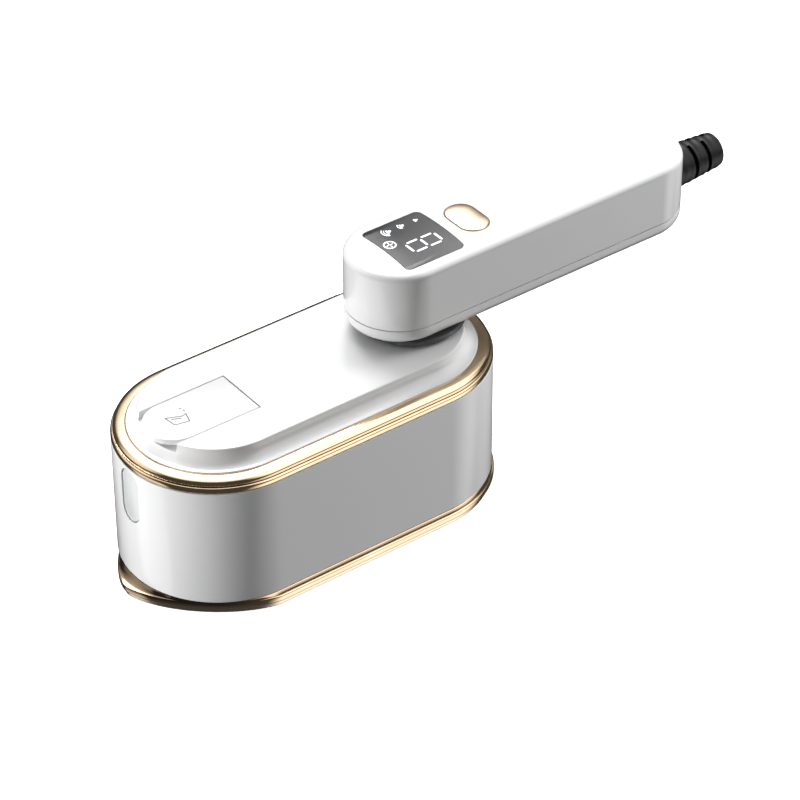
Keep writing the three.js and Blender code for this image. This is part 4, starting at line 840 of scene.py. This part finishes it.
pad = leaf_block("pad", FLAP_REAR + 3 * MM, FLAP_CENTRE, FLAP_RADIUS + 6 * MM,
                 POCKET_FLOOR - 2.5 * MM, TOP_LEVEL)
combine(hollow, "DIFFERENCE", pad)
combine(cover, "DIFFERENCE", hollow,
        block("pocket", (flap_low[0] - 4 * MM, -FLAP_RADIUS - MARGIN, POCKET_FLOOR),
              (FLAP_REAR + MARGIN, FLAP_RADIUS + MARGIN, TOP_LEVEL + 2 * MM)),
        rod("knuckle", KNUCKLE_RADIUS, -FLAP_RADIUS - MARGIN, FLAP_RADIUS + MARGIN, "Y", HINGE),
        rod("pin_hole", PIN_HOLE, pin_low[1] - 0.3 * MM, pin_high[1] + 0.3 * MM, "Y", HINGE),
        rod("mouth", SEAL_RADIUS + 0.3 * MM, cover_foot, TOP_LEVEL, centre=(FILL_X, 0)),
        rod("swivel_hole", SWIVEL_HOLE, cover_foot, TOP_LEVEL + MM, centre=(PIVOT_X, 0)))
finish_piece(cover, "head", "white_shell", WHITE, "top_cover")

# %% [markdown]
# ## The filler flap
# The flap is a leaf with a round end that overhangs the cove, so a fingernail can lift it. It is
# the same leaf block as its pocket, less the gap all round, softened along its edges and joined
# to the barrel it turns on. Its jug mark is a thin inlay, drawn with short bars: a body, a
# handle, a spout and two drops.

# %% Filler flap
FLAP_THICKNESS = 2.1 * MM
BARREL_RADIUS, BARREL_BORE, BARREL_END = 1.6 * MM, 0.95 * MM, 0.5 * MM
leaf = leaf_block("filler_flap_skin", FLAP_REAR, FLAP_CENTRE, FLAP_RADIUS,
                  flap_high[2] - FLAP_THICKNESS, flap_high[2])
soften(leaf, 0.45 * MM, 4)
barrel = rod("barrel", BARREL_RADIUS, -FLAP_RADIUS + BARREL_END, FLAP_RADIUS - BARREL_END, "Y",
             HINGE)
combine(leaf, "UNION", barrel)
combine(leaf, "DIFFERENCE", rod("bore", BARREL_BORE, -0.02, 0.02, "Y", HINGE))
finish_piece(leaf, "flap", "white_shell", WHITE, "filler_flap")


def ink(name, colour, worn, glow=0.0):
    """Printed or lit marks: a slightly uneven colour, thinner at some spots."""
    print_layer = Finish(name, Roughness=0.4)
    uneven = print_layer.noise(1500, 3)
    tint = print_layer.blend(uneven.ramp(0.35, 0.65), worn, colour)
    if glow:
        print_layer.shader.inputs["Emission Strength"].default_value = glow
        print_layer.set(Emission_Color=tint)
    return print_layer.set(Base_Color=tint, Roughness=0.3 + 0.2 * uneven)


def bar(name, start, end, width, level, thickness=0.05 * MM):
    """A thin bar with rounded ends laid on a level face, from one point to another."""
    start, end = Vector(start), Vector(end)
    run = end - start
    piece = stadium_block(name, width / 2, run.length / 2, level - thickness, level + thickness,
                          steps=12)
    moved(piece, turn=math.atan2(run.y, run.x))
    return moved(piece, (*((start + end) / 2), 0))


def joined(name, pieces):
    """Joins pieces into one mesh, as they are."""
    bpy.ops.object.select_all(action="DESELECT")
    for piece in pieces:
        piece.select_set(True)
    bpy.context.view_layer.objects.active = pieces[0]
    bpy.ops.object.join()
    pieces[0].name = pieces[0].data.name = name
    return pieces[0]


JUG_INK = ink("jug_ink", (0.05, 0.05, 0.052), (0.14, 0.14, 0.145))
jug_lines = [
    ((-53.2, 2.6), (-52.6, -2.2)), ((-52.6, -2.2), (-47.6, -3.3)), ((-47.6, -3.3), (-46.4, 0.7)),
    ((-46.4, 0.7), (-48.2, 0.4)), ((-48.2, 0.4), (-53.2, 2.6)), ((-51.9, 0.9), (-48.9, -0.4)),
    ((-45.9, 2.3), (-46.0, 2.8)), ((-46.3, 3.9), (-46.5, 4.5)),
]
jug = joined("jug_mark", [
    bar("line", Vector(a) * MM, Vector(b) * MM, 0.36 * MM, flap_high[2]) for a, b in jug_lines])
finish_piece(jug, "flap", "dark_plastic", JUG_INK)

# %% [markdown]
# ## The handle's casing
# The casing is two mouldings that meet on a seam near the bottom. Both are stadium sweeps: the
# upper one is deep and flat on top, the lower one is a shallow tray with a big rounding. The
# display sits in a recess with a ledge, the button in a through hole, and the cord leaves by the
# far end.

# %% Upper shell
upper_foot = levels("handle_upper_shell")[0]
lower_foot = levels("handle_lower_cover")[0]
SEAM = 0.3 * MM
lower_top = upper_foot - SEAM
HANDLE_WALL = 2 * MM
HANDLE_INNER = HANDLE_RADIUS - HANDLE_WALL
upper = sweep_stadium("handle_upper_skin", [
    (HANDLE_RADIUS - 4 * MM, HANDLE_TOP, 0),
    (HANDLE_RADIUS, HANDLE_TOP, 2.4 * MM),
    (HANDLE_RADIUS, upper_foot, 0.3 * MM),
    (HANDLE_INNER, upper_foot, 0.2 * MM),
    (HANDLE_INNER, HANDLE_TOP - HANDLE_WALL, 1 * MM),
    (HANDLE_INNER - 3 * MM, HANDLE_TOP - HANDLE_WALL, 0),
], HANDLE_HALF, HANDLE_MIDDLE, ring=False, steps=64, rounding_steps=8)

display_low, display_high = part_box("display_window")
DISPLAY_BOW = 0.9 * MM
DISPLAY_CORNER = 2.2 * MM


def display_block(name, grow, low, high, rows=12):
    """A rectangle whose two ends bow towards the cord, with rounded corners."""
    start, end = display_low[0] - grow, display_high[0] - DISPLAY_BOW / 2 + grow
    side = display_high[1] + grow
    piece = block(name, (start, -side, low), (end, side, high))
    for row in range(1, rows):
        edit_all()
        bpy.ops.mesh.bisect(plane_co=(0, -side + 2 * side * row / rows, 0), plane_no=(0, 1, 0))
    for row in range(1, rows):
        y = -side + 2 * side * row / rows
        choose(piece, lambda at: abs(at.y - y) < TINY)
        bpy.ops.transform.translate(value=(DISPLAY_BOW * (1 - (y / side) ** 2), 0, 0))
    choose(piece, lambda at: abs(abs(at.y) - side) < TINY and abs(at.z - (low + high) / 2) < TINY
           and (abs(at.x - start) < TINY or abs(at.x - end) < TINY), "edges")
    bpy.ops.mesh.bevel(offset=DISPLAY_CORNER, segments=8, affect="EDGES")
    bpy.ops.object.mode_set(mode="OBJECT")
    return tidy_solid(piece)


button_low, button_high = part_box("power_button")
BUTTON_X = middle_of("power_button")[0]
BUTTON_RADIUS, BUTTON_HALF = 5.5 * MM, 3.3 * MM


def button_block(name, grow, low, high):
    """A stadium across the handle, the size of the button plus grow."""
    piece = stadium_block(name, BUTTON_RADIUS + grow, BUTTON_HALF, low, high)
    moved(piece, turn=math.pi / 2)
    return moved(piece, (BUTTON_X, 0, 0))


boot_low, boot_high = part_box("cord_boot")
CORD_LEVEL = middle_of("cord_boot")[2]
HANDLE_END = HANDLE_MIDDLE + HANDLE_HALF + HANDLE_RADIUS
SEAM_GAP = 0.22 * MM
roof = HANDLE_TOP - HANDLE_WALL
combine(upper, "DIFFERENCE",
        display_block("recess", SEAM_GAP, display_low[2] - 0.3 * MM, HANDLE_TOP + MM),
        display_block("lens", -1.5 * MM, roof - 2 * MM, HANDLE_TOP + 2 * MM),
        button_block("button_hole", 0.3 * MM, roof - 2 * MM, HANDLE_TOP + MM),
        rod("cord_hole", 5.3 * MM, HANDLE_END - 4.4 * MM, HANDLE_END + MM, "X", (0, CORD_LEVEL)))
finish_piece(upper, "handle", "white_shell", WHITE, "handle_upper_shell")

# %% Lower cover
lower = sweep_stadium("handle_lower_skin", [
    (HANDLE_RADIUS - 6 * MM, lower_foot, 0),
    (HANDLE_RADIUS, lower_foot, 4.5 * MM),
    (HANDLE_RADIUS, lower_top, 0.3 * MM),
    (HANDLE_INNER, lower_top, 0.2 * MM),
    (HANDLE_INNER, lower_foot + HANDLE_WALL, 2.5 * MM),
    (HANDLE_INNER - 4 * MM, lower_foot + HANDLE_WALL, 0),
], HANDLE_HALF, HANDLE_MIDDLE, ring=False, steps=64, rounding_steps=8)
SHAFT_HOLE = 8.3 * MM
BOSS_RADIUS, COUNTERBORE, SCREW_HOLE = 4.7 * MM, 3.1 * MM, 1.7 * MM
tools = [rod("shaft_hole", SHAFT_HOLE, lower_foot - MM, lower_top, centre=(PIVOT_X, 0))]
bosses = []
for k in (1, 2, 3):
    axis = (middle_of(f"handle_screw_{k}")[0], 0)
    bosses.append(rod("boss", BOSS_RADIUS, lower_foot + MM, lower_top - SEAM, centre=axis))
    tools.append(rod("counterbore", COUNTERBORE, lower_foot - MM, lower_foot + 3 * MM, centre=axis))
    tools.append(rod("screw_hole", SCREW_HOLE, lower_foot, lower_top + MM, centre=axis))
combine(lower, "UNION", *bosses)
combine(lower, "DIFFERENCE", *tools)
finish_piece(lower, "handle", "white_shell", WHITE, "handle_lower_cover")

# %% [markdown]
# ## The neck collar
# Between the handle and the head turns a dark collar. It is a lathe job: one section spun a full
# turn. Its side leans in a little at the foot, so that it reads as a shadow line under the
# handle.

# %% Neck collar


def dark_plastic():
    dark = Finish("collar_plastic", Coat_Weight=0.2, Coat_Roughness=0.1)
    grain = dark.cells(2600)
    cloud = dark.noise(90, 4)
    rubbed = dark.noise(300, 3, place=dark.stretched(1, 1, 0.1)).ramp(0.55, 0.7)
    tint = dark.blend(cloud, (0.055, 0.056, 0.058), (0.085, 0.086, 0.088))
    tint = dark.blend(rubbed * 0.3, tint, (0.14, 0.14, 0.14))
    return dark.set(Base_Color=tint, Roughness=0.26 + 0.1 * cloud,
                    Normal=dark.bump(grain, 0.000006))


collar_foot, collar_top = levels("neck_collar")
COLLAR_RADIUS = stadium_of("neck_collar")[0]
collar = lathe("neck_collar_skin", [
    (COLLAR_RADIUS - 0.9 * MM, collar_foot, 0.3 * MM),
    (COLLAR_RADIUS, collar_foot + 0.9 * MM, 0.3 * MM),
    (COLLAR_RADIUS, collar_top, 0.4 * MM),
    (SHAFT_HOLE, collar_top, 0.1 * MM),
    (SHAFT_HOLE, collar_foot, 0.1 * MM),
], (PIVOT_X, 0, 0))
DARK = dark_plastic()
finish_piece(collar, "handle", "dark_plastic", DARK, "neck_collar")

# %% [markdown]
# ## The display
# A dark tinted pane lies flush with the casing. It is drawn as a rectangle whose ends bow,
# because they follow the swivel's centre, with a fine rounding round its face. Its lit marks are
# thin inlays on the face: one seven-bar figure, a clock and three puffs of steam for the three
# strengths.

# %% Display pane


def display_glass():
    glass = Finish("display_glass", IOR=1.28)
    along = glass.axis("X").ramp(display_low[0], display_high[0])
    across = glass.axis("Y").ramp(display_high[1], display_low[1])
    smear = glass.noise(260, 5, place=glass.stretched(1, 0.3, 1))
    # Painted reflection: the tint lightens from the filler end's far corner to the cord end's near
    # corner, for the bright room mirrored in the glass.
    tint = glass.blend(0.45 * along + 0.55 * across, (0.012, 0.012, 0.013), (0.17, 0.17, 0.173))
    tint = glass.blend(smear.ramp(0.5, 0.8) * 0.12, tint, (0.20, 0.20, 0.21))
    return glass.set(Base_Color=tint, Roughness=0.12 + 0.10 * smear,
                     Normal=glass.bump(glass.noise(3500, 2), 0.000002))


pane = display_block("display_pane", 0, display_low[2], HANDLE_TOP)
soften(pane, 0.18 * MM)
finish_piece(pane, "handle", "display_glass", display_glass(), "display_window")

# %% Lit marks
LIT = ink("lit_marks", (0.95, 0.96, 0.97), (0.80, 0.82, 0.84), glow=0.55)
MARK_LEVEL = HANDLE_TOP
FAR_ROW, NEAR_ROW = -0.25, -5.95
figure = [((x, FAR_ROW - trim), (x, NEAR_ROW + trim)) for x, trim in
          ((41.45, 1.0), (47.3, 1.3), (53.15, 1.0))]
figure += [((x, y), (x + 3.5, y)) for x in (42.65, 48.45) for y in (FAR_ROW, NEAR_ROW)]
lit = [bar("bar", Vector(a) * MM, Vector(b) * MM, 0.85 * MM, MARK_LEVEL) for a, b in figure]


def arc(centre, radius, start, end, width, steps=8):
    """Short bars that follow an arc, for icons. Angles are in degrees."""
    turns = [math.radians(start + (end - start) * k / steps) for k in range(steps + 1)]
    points = [(Vector(centre) + radius * Vector((math.cos(t), math.sin(t)))) * MM for t in turns]
    return [bar("arc", a, b, width * MM, MARK_LEVEL, 0.04 * MM) for a, b in zip(points, points[1:])]


def spot(centre, radius):
    """A small round dot on the display, with a slightly sunk edge."""
    x, y = centre
    return lathe("spot", [
        (0.02 * MM, MARK_LEVEL + 0.05 * MM, 0),
        (radius * MM, MARK_LEVEL + 0.05 * MM, 0.02 * MM),
        (radius * MM, MARK_LEVEL - 0.05 * MM, 0),
        (0.02 * MM, MARK_LEVEL - 0.05 * MM, 0),
    ], (x * MM, y * MM, 0), steps=20, ring=False)


lit += arc((37.3, 2.4), 2.0, 0, 360, 0.5, 24)
lit += [bar("hand", Vector(a) * MM, Vector(b) * MM, 0.45 * MM, MARK_LEVEL, 0.04 * MM)
        for a, b in (((37.3, 2.4), (38.3, 2.4)), ((37.3, 2.4), (37.3, 3.6)),
                     ((36.1, 2.4), (36.6, 2.4)), ((37.3, 1.1), (37.3, 1.6)))]
for x, y, size, waves in ((41.3, 9.0, 1.05, 2), (46.9, 9.2, 0.95, 1), (52.7, 9.1, 0.85, 0)):
    lit += [spot((x, y - 0.35 * size), 0.62 * size), spot((x + 0.75 * size, y), 0.5 * size),
            spot((x - 0.1 * size, y + 0.5 * size), 0.45 * size)]
    for k in range(waves):
        lit += arc((x + 0.2, y), (1.5 + 0.75 * k) * size, 130, 250, 0.34)
marks = joined("display_marks", lit)
finish_piece(marks, "handle", "display_glass", LIT)

# %% [markdown]
# ## The power button
# The button is a shallow dome of stadium plan in champagne gilt, with a flange under the casing's
# roof that keeps it in, and a stem that presses the switch. It is swept lengthwise and then
# turned a quarter turn, since it lies across the handle.

# %% Power button
FLANGE_RADIUS = BUTTON_RADIUS + 1.2 * MM
FLANGE_TOP, FLANGE_FOOT = roof - 0.3 * MM, roof - 1.7 * MM
STEM_RADIUS = 1.7 * MM
dome = [(out * MM, button_high[2] - drop * MM, 0)
        for out, drop in ((0.8, 0), (2.2, 0.05), (3.3, 0.15), (4.3, 0.3))]
button = sweep_stadium("power_button_cap", [
    *dome,
    (BUTTON_RADIUS, button_high[2] - 0.55 * MM, 0.4 * MM),
    (BUTTON_RADIUS, FLANGE_TOP, 0),
    (FLANGE_RADIUS, FLANGE_TOP, 0.15 * MM),
    (FLANGE_RADIUS, FLANGE_FOOT, 0.15 * MM),
    (1.5 * MM, FLANGE_FOOT, 0),
], BUTTON_HALF, ring=False, steps=48)
moved(button, turn=math.pi / 2)
moved(button, (BUTTON_X, 0, 0))
combine(button, "UNION", rod("stem", STEM_RADIUS, button_low[2], roof - MM, centre=(BUTTON_X, 0)))
finish_piece(button, "button", "gold_trim", BUTTON_FINISH, "power_button")

# %% [markdown]
# ## The cord's boot
# A black rubber sleeve guards the cord where it leaves. Slots cut half-way round, by turns from
# one side and the other, let it bend. The sleeve is turned on the lathe upright, slotted with
# rings that are each halved by a block, laid along X, and trimmed by the casing's own outline, so
# that it fits the round end of the handle.

# %% Cord boot


def black_rubber():
    rubber = Finish("black_rubber", IOR=1.42)
    grain = rubber.noise(3800, 4)
    dust = rubber.noise(350, 5).ramp(0.5, 0.8)
    tint = rubber.blend(dust * 0.6, (0.004, 0.004, 0.004), (0.018, 0.017, 0.016))
    return rubber.set(Base_Color=tint, Roughness=0.34 + 0.16 * grain + 0.1 * dust,
                      Normal=rubber.bump(grain, 0.00002))


BOOT_LENGTH = boot_high[0] - HANDLE_END
BOOT_RADIUS, TIP_RADIUS, BORE = 7.6 * MM, 6.4 * MM, 3.6 * MM
SLOT, END_RIB, RIBS = 1.6 * MM, 2.4 * MM, 5
CORE, WEB = 5 * MM, 2.4 * MM
BOOT_FOOT, SWELL = -4.4 * MM, 0.13 * MM
NECK_RADIUS, INNER_FLANGE = 5 * MM, 6.6 * MM
pitch = (BOOT_LENGTH - 2 * END_RIB) / RIBS
sleeve_profile = []
for k in range(33):
    z = BOOT_FOOT + (BOOT_LENGTH - 1.2 * MM - BOOT_FOOT) * k / 32
    lean = min(max(z / BOOT_LENGTH - 0.2, 0) / 0.8, 1)
    swell = SWELL * math.cos(2 * math.pi * (z - END_RIB) / pitch)
    sleeve_profile.append((BOOT_RADIUS + (TIP_RADIUS - BOOT_RADIUS) * lean - SWELL + swell, z, 0))
boot = lathe("cord_boot_sleeve", [
    (BORE, BOOT_FOOT, 0),
    *sleeve_profile,
    (TIP_RADIUS - 0.1 * MM, BOOT_LENGTH, 0.9 * MM),
    (BORE, BOOT_LENGTH, 0.5 * MM),
], steps=72)
for k in range(RIBS):
    z = END_RIB + (k + 0.5) * pitch - SLOT / 2
    groove = lathe("groove", [
        (CORE, z, 0.3 * MM), (CORE, z + SLOT, 0.3 * MM),
        (1.4 * BOOT_RADIUS, z + SLOT, 0), (1.4 * BOOT_RADIUS, z, 0),
    ], steps=72)
    away = 1 if k % 2 else -1
    kept = block("kept", (-0.02, -0.02, z - MM), (0.02, WEB / 2, z + 3 * MM))
    if away > 0:
        moved(kept, turn=math.pi)
    combine(groove, "DIFFERENCE", kept)
    combine(boot, "DIFFERENCE", groove)
soften(boot, 0.16 * MM, 2, 50)
moved(boot, turn=math.pi / 2, axis="Y")
moved(boot, (HANDLE_END, 0, CORD_LEVEL))
casing = stadium_block("casing", HANDLE_RADIUS + 0.25 * MM, HANDLE_HALF, lower_foot, HANDLE_TOP,
                       steps=128)
combine(boot, "DIFFERENCE", moved(casing, (HANDLE_MIDDLE, 0, 0)))


def washer_along_x(name, radius, start, end):
    """A short tube round the cord."""
    tube = lathe(name, [(BORE, start, 0), (radius, start, 0.2 * MM), (radius, end, 0.2 * MM),
                        (BORE, end, 0)], steps=72)
    moved(tube, turn=math.pi / 2, axis="Y")
    return moved(tube, (0, 0, CORD_LEVEL))


flange_start = boot_low[0]
combine(boot, "UNION",
        washer_along_x("neck", NECK_RADIUS, flange_start + MM, HANDLE_END + 2 * MM),
        washer_along_x("flange", INNER_FLANGE, flange_start, flange_start + 1.8 * MM))
RUBBER = black_rubber()
finish_piece(boot, "handle", "black_rubber", RUBBER, "cord_boot")
print("boot reaches", round(max(v.co.x for v in boot.data.vertices) / MM, 2), "mm")

# %% [markdown]
# ## The parts inside
# The rest of the CAD model keeps its own shapes and gets real finishes. They are seen through the
# open flap, through the pane, and when the part is taken apart. Each finish has the marks of how
# the part is made: sand-cast grain, drawn lines, turned rings, wound wire, etched tracks.

# %% Metals inside


def steel_finish():
    steel = Finish("bright_steel", Metallic=1.0)
    drawn = steel.noise(1400, 3, place=steel.stretched(1, 1, 0.06))
    stain = steel.noise(130, 4).ramp(0.5, 0.8)
    tint = steel.blend(stain, (0.60, 0.61, 0.62), (0.44, 0.44, 0.43))
    return steel.set(Base_Color=tint, Roughness=0.24 + 0.12 * drawn + 0.1 * stain,
                     Normal=steel.bump(drawn, 0.000008))


def cast_finish():
    cast = Finish("cast_aluminium", Metallic=0.9)
    sand = cast.noise(1700, 6)
    pits = cast.cells(1100).ramp(0.10, 0.04)
    heat = cast.axis("Z").ramp(0.012, 0.003) * cast.noise(60, 3).ramp(0.35, 0.7)
    tint = cast.blend(sand, (0.40, 0.40, 0.41), (0.56, 0.56, 0.56))
    tint = cast.blend(heat * 0.5, tint, (0.40, 0.33, 0.22))
    return cast.set(Base_Color=tint, Roughness=0.5 + 0.2 * sand,
                    Normal=cast.bump(sand - 0.7 * pits, 0.00006))


def copper_finish():
    copper = Finish("enamelled_copper", Metallic=0.85, Coat_Weight=0.5, Coat_Roughness=0.15)
    turns = copper.node("TexWave", {"bands_direction": "Y", "wave_profile": "SIN"},
                        {"Vector": copper.place, "Scale": 420.0, "Distortion": 0.4}, "Fac")
    tint = copper.blend(turns, (0.28, 0.10, 0.04), (0.62, 0.29, 0.13))
    tint = copper.blend(copper.noise(500, 3).ramp(0.55, 0.8) * 0.4, tint, (0.42, 0.16, 0.06))
    return copper.set(Base_Color=tint, Roughness=0.42 - 0.15 * turns,
                      Normal=copper.bump(turns, 0.00012))


STEEL, CAST, COPPER = steel_finish(), cast_finish(), copper_finish()
print([m.name for m in (STEEL, CAST, COPPER)])

# %% Plastics, rubber and the board inside


def moulded(name, pale, dark, gloss, grain_size, depth=0.00001, **constants):
    """Moulded plastic or rubber: drifting tint, fine grain and rubbed spots."""
    plastic = Finish(name, **constants)
    drift = plastic.noise(70, 4)
    grain = plastic.noise(grain_size, 3)
    rubbed = plastic.noise(220, 5).ramp(0.55, 0.75)
    tint = plastic.blend(drift, dark, pale)
    tint = plastic.blend(rubbed * 0.2, tint, tuple(min(1, 1.15 * c + 0.02) for c in pale))
    return plastic.set(Base_Color=tint, Roughness=gloss + 0.12 * grain - 0.06 * rubbed,
                       Normal=plastic.bump(grain, depth))


def board_finish():
    board = Finish("circuit_board", Coat_Weight=0.4, Coat_Roughness=0.2)
    across = (board.axis("Y") * 700.0).fraction()
    tracks = across.ramp(0.62, 0.66) * board.noise(140, 1).ramp(0.50, 0.53)
    pads = board.cells(240).ramp(0.22, 0.19)
    tint = board.blend(board.noise(90, 3), (0.012, 0.10, 0.045), (0.02, 0.15, 0.07))
    tint = board.blend(tracks, tint, (0.04, 0.24, 0.11))
    tint = board.blend(pads, tint, (0.70, 0.60, 0.42))
    return board.set(Base_Color=tint, Metallic=pads * 0.8, Roughness=0.38 - 0.1 * pads,
                     Normal=board.bump(tracks + pads, 0.00004))


def sleeve_finish():
    sleeve = Finish("braided_sleeve")
    turned = sleeve.node("Mapping", {}, {"Vector": sleeve.place, "Rotation": (0.6, 0.8, 0.8)})
    one = sleeve.node("TexWave", {"bands_direction": "DIAGONAL"},
                      {"Vector": sleeve.place, "Scale": 700.0}, "Fac")
    other = sleeve.node("TexWave", {"bands_direction": "DIAGONAL"},
                        {"Vector": turned, "Scale": 700.0}, "Fac")
    weave = one.most(other)
    tint = sleeve.blend(weave, (0.012, 0.012, 0.013), (0.06, 0.06, 0.065))
    return sleeve.set(Base_Color=tint, Roughness=0.75 - 0.2 * weave,
                      Normal=sleeve.bump(weave, 0.0001))


ACETAL = moulded("acetal", (0.80, 0.79, 0.75), (0.72, 0.71, 0.66), 0.36, 1800)
BLACK = moulded("black_moulding", (0.035, 0.035, 0.037), (0.02, 0.02, 0.021), 0.42, 2400)
SILICONE = moulded("silicone", (0.72, 0.71, 0.69), (0.62, 0.61, 0.58), 0.5, 900,
                   Subsurface_Weight=0.25, Subsurface_Scale=0.002)
TANK = moulded("tank_plastic", (0.86, 0.89, 0.91), (0.80, 0.84, 0.87), 0.08, 600, 0.000004,
               Transmission_Weight=0.85, IOR=1.49)
BOARD, SLEEVE = board_finish(), sleeve_finish()
print([m.name for m in (ACETAL, BLACK, SILICONE, TANK, BOARD, SLEEVE)])

# %% Give each carried-over node its finish
FINISH_OF_SLOT = {
    "white_shell": WHITE, "gold_trim": GILT, "sole_metal": SOLE_FINISH, "cast_metal": CAST,
    "steel": STEEL, "copper": COPPER, "dark_plastic": DARK, "black_plastic": BLACK,
    "black_rubber": RUBBER, "wire_sleeve": SLEEVE, "silicone": SILICONE, "clear_plastic": TANK,
    "circuit_board": BOARD, "engineering_plastic": ACETAL,
}
given = {}
for part in frame["record"]["subparts"]:
    node, finish = frame["nodes"][part["node"]], FINISH_OF_SLOT.get(part["material_slot"])
    if finish and node.type == "MESH":
        for place in node.material_slots:
            place.material = finish
        given[part["node"]] = finish.name
print("finishes given to", len(given), "nodes")

# %% [markdown]
# ## The floor
# The steamer stands on a plain pale sheet, large enough for any view. The sheet gives its own
# even light and is hidden from bounced light and reflections, so that it doesn't brighten the
# walls. A faint mottling keeps it from looking like a flat fill.

# %% Floor
FLOOR_DROP = 0.1 * MM
bpy.ops.object.select_all(action="DESELECT")
bpy.ops.mesh.primitive_plane_add(size=8, location=(0, 0, -FLOOR_DROP))
floor = bpy.context.object
floor.name = "floor"
sheet = Finish("pale_sheet")
sheet_tint = sheet.blend(sheet.noise(6, 3), (0.90, 0.90, 0.90), (0.93, 0.93, 0.93))
sheet.shader.inputs["Emission Strength"].default_value = 0.95
floor.data.materials.append(sheet.set(Base_Color=sheet_tint, Emission_Color=sheet_tint,
                                      Roughness=0.8 + 0.1 * sheet.noise(40, 2)))
floor.visible_diffuse = floor.visible_glossy = False
print("floor", [round(v, 2) for v in floor.dimensions])
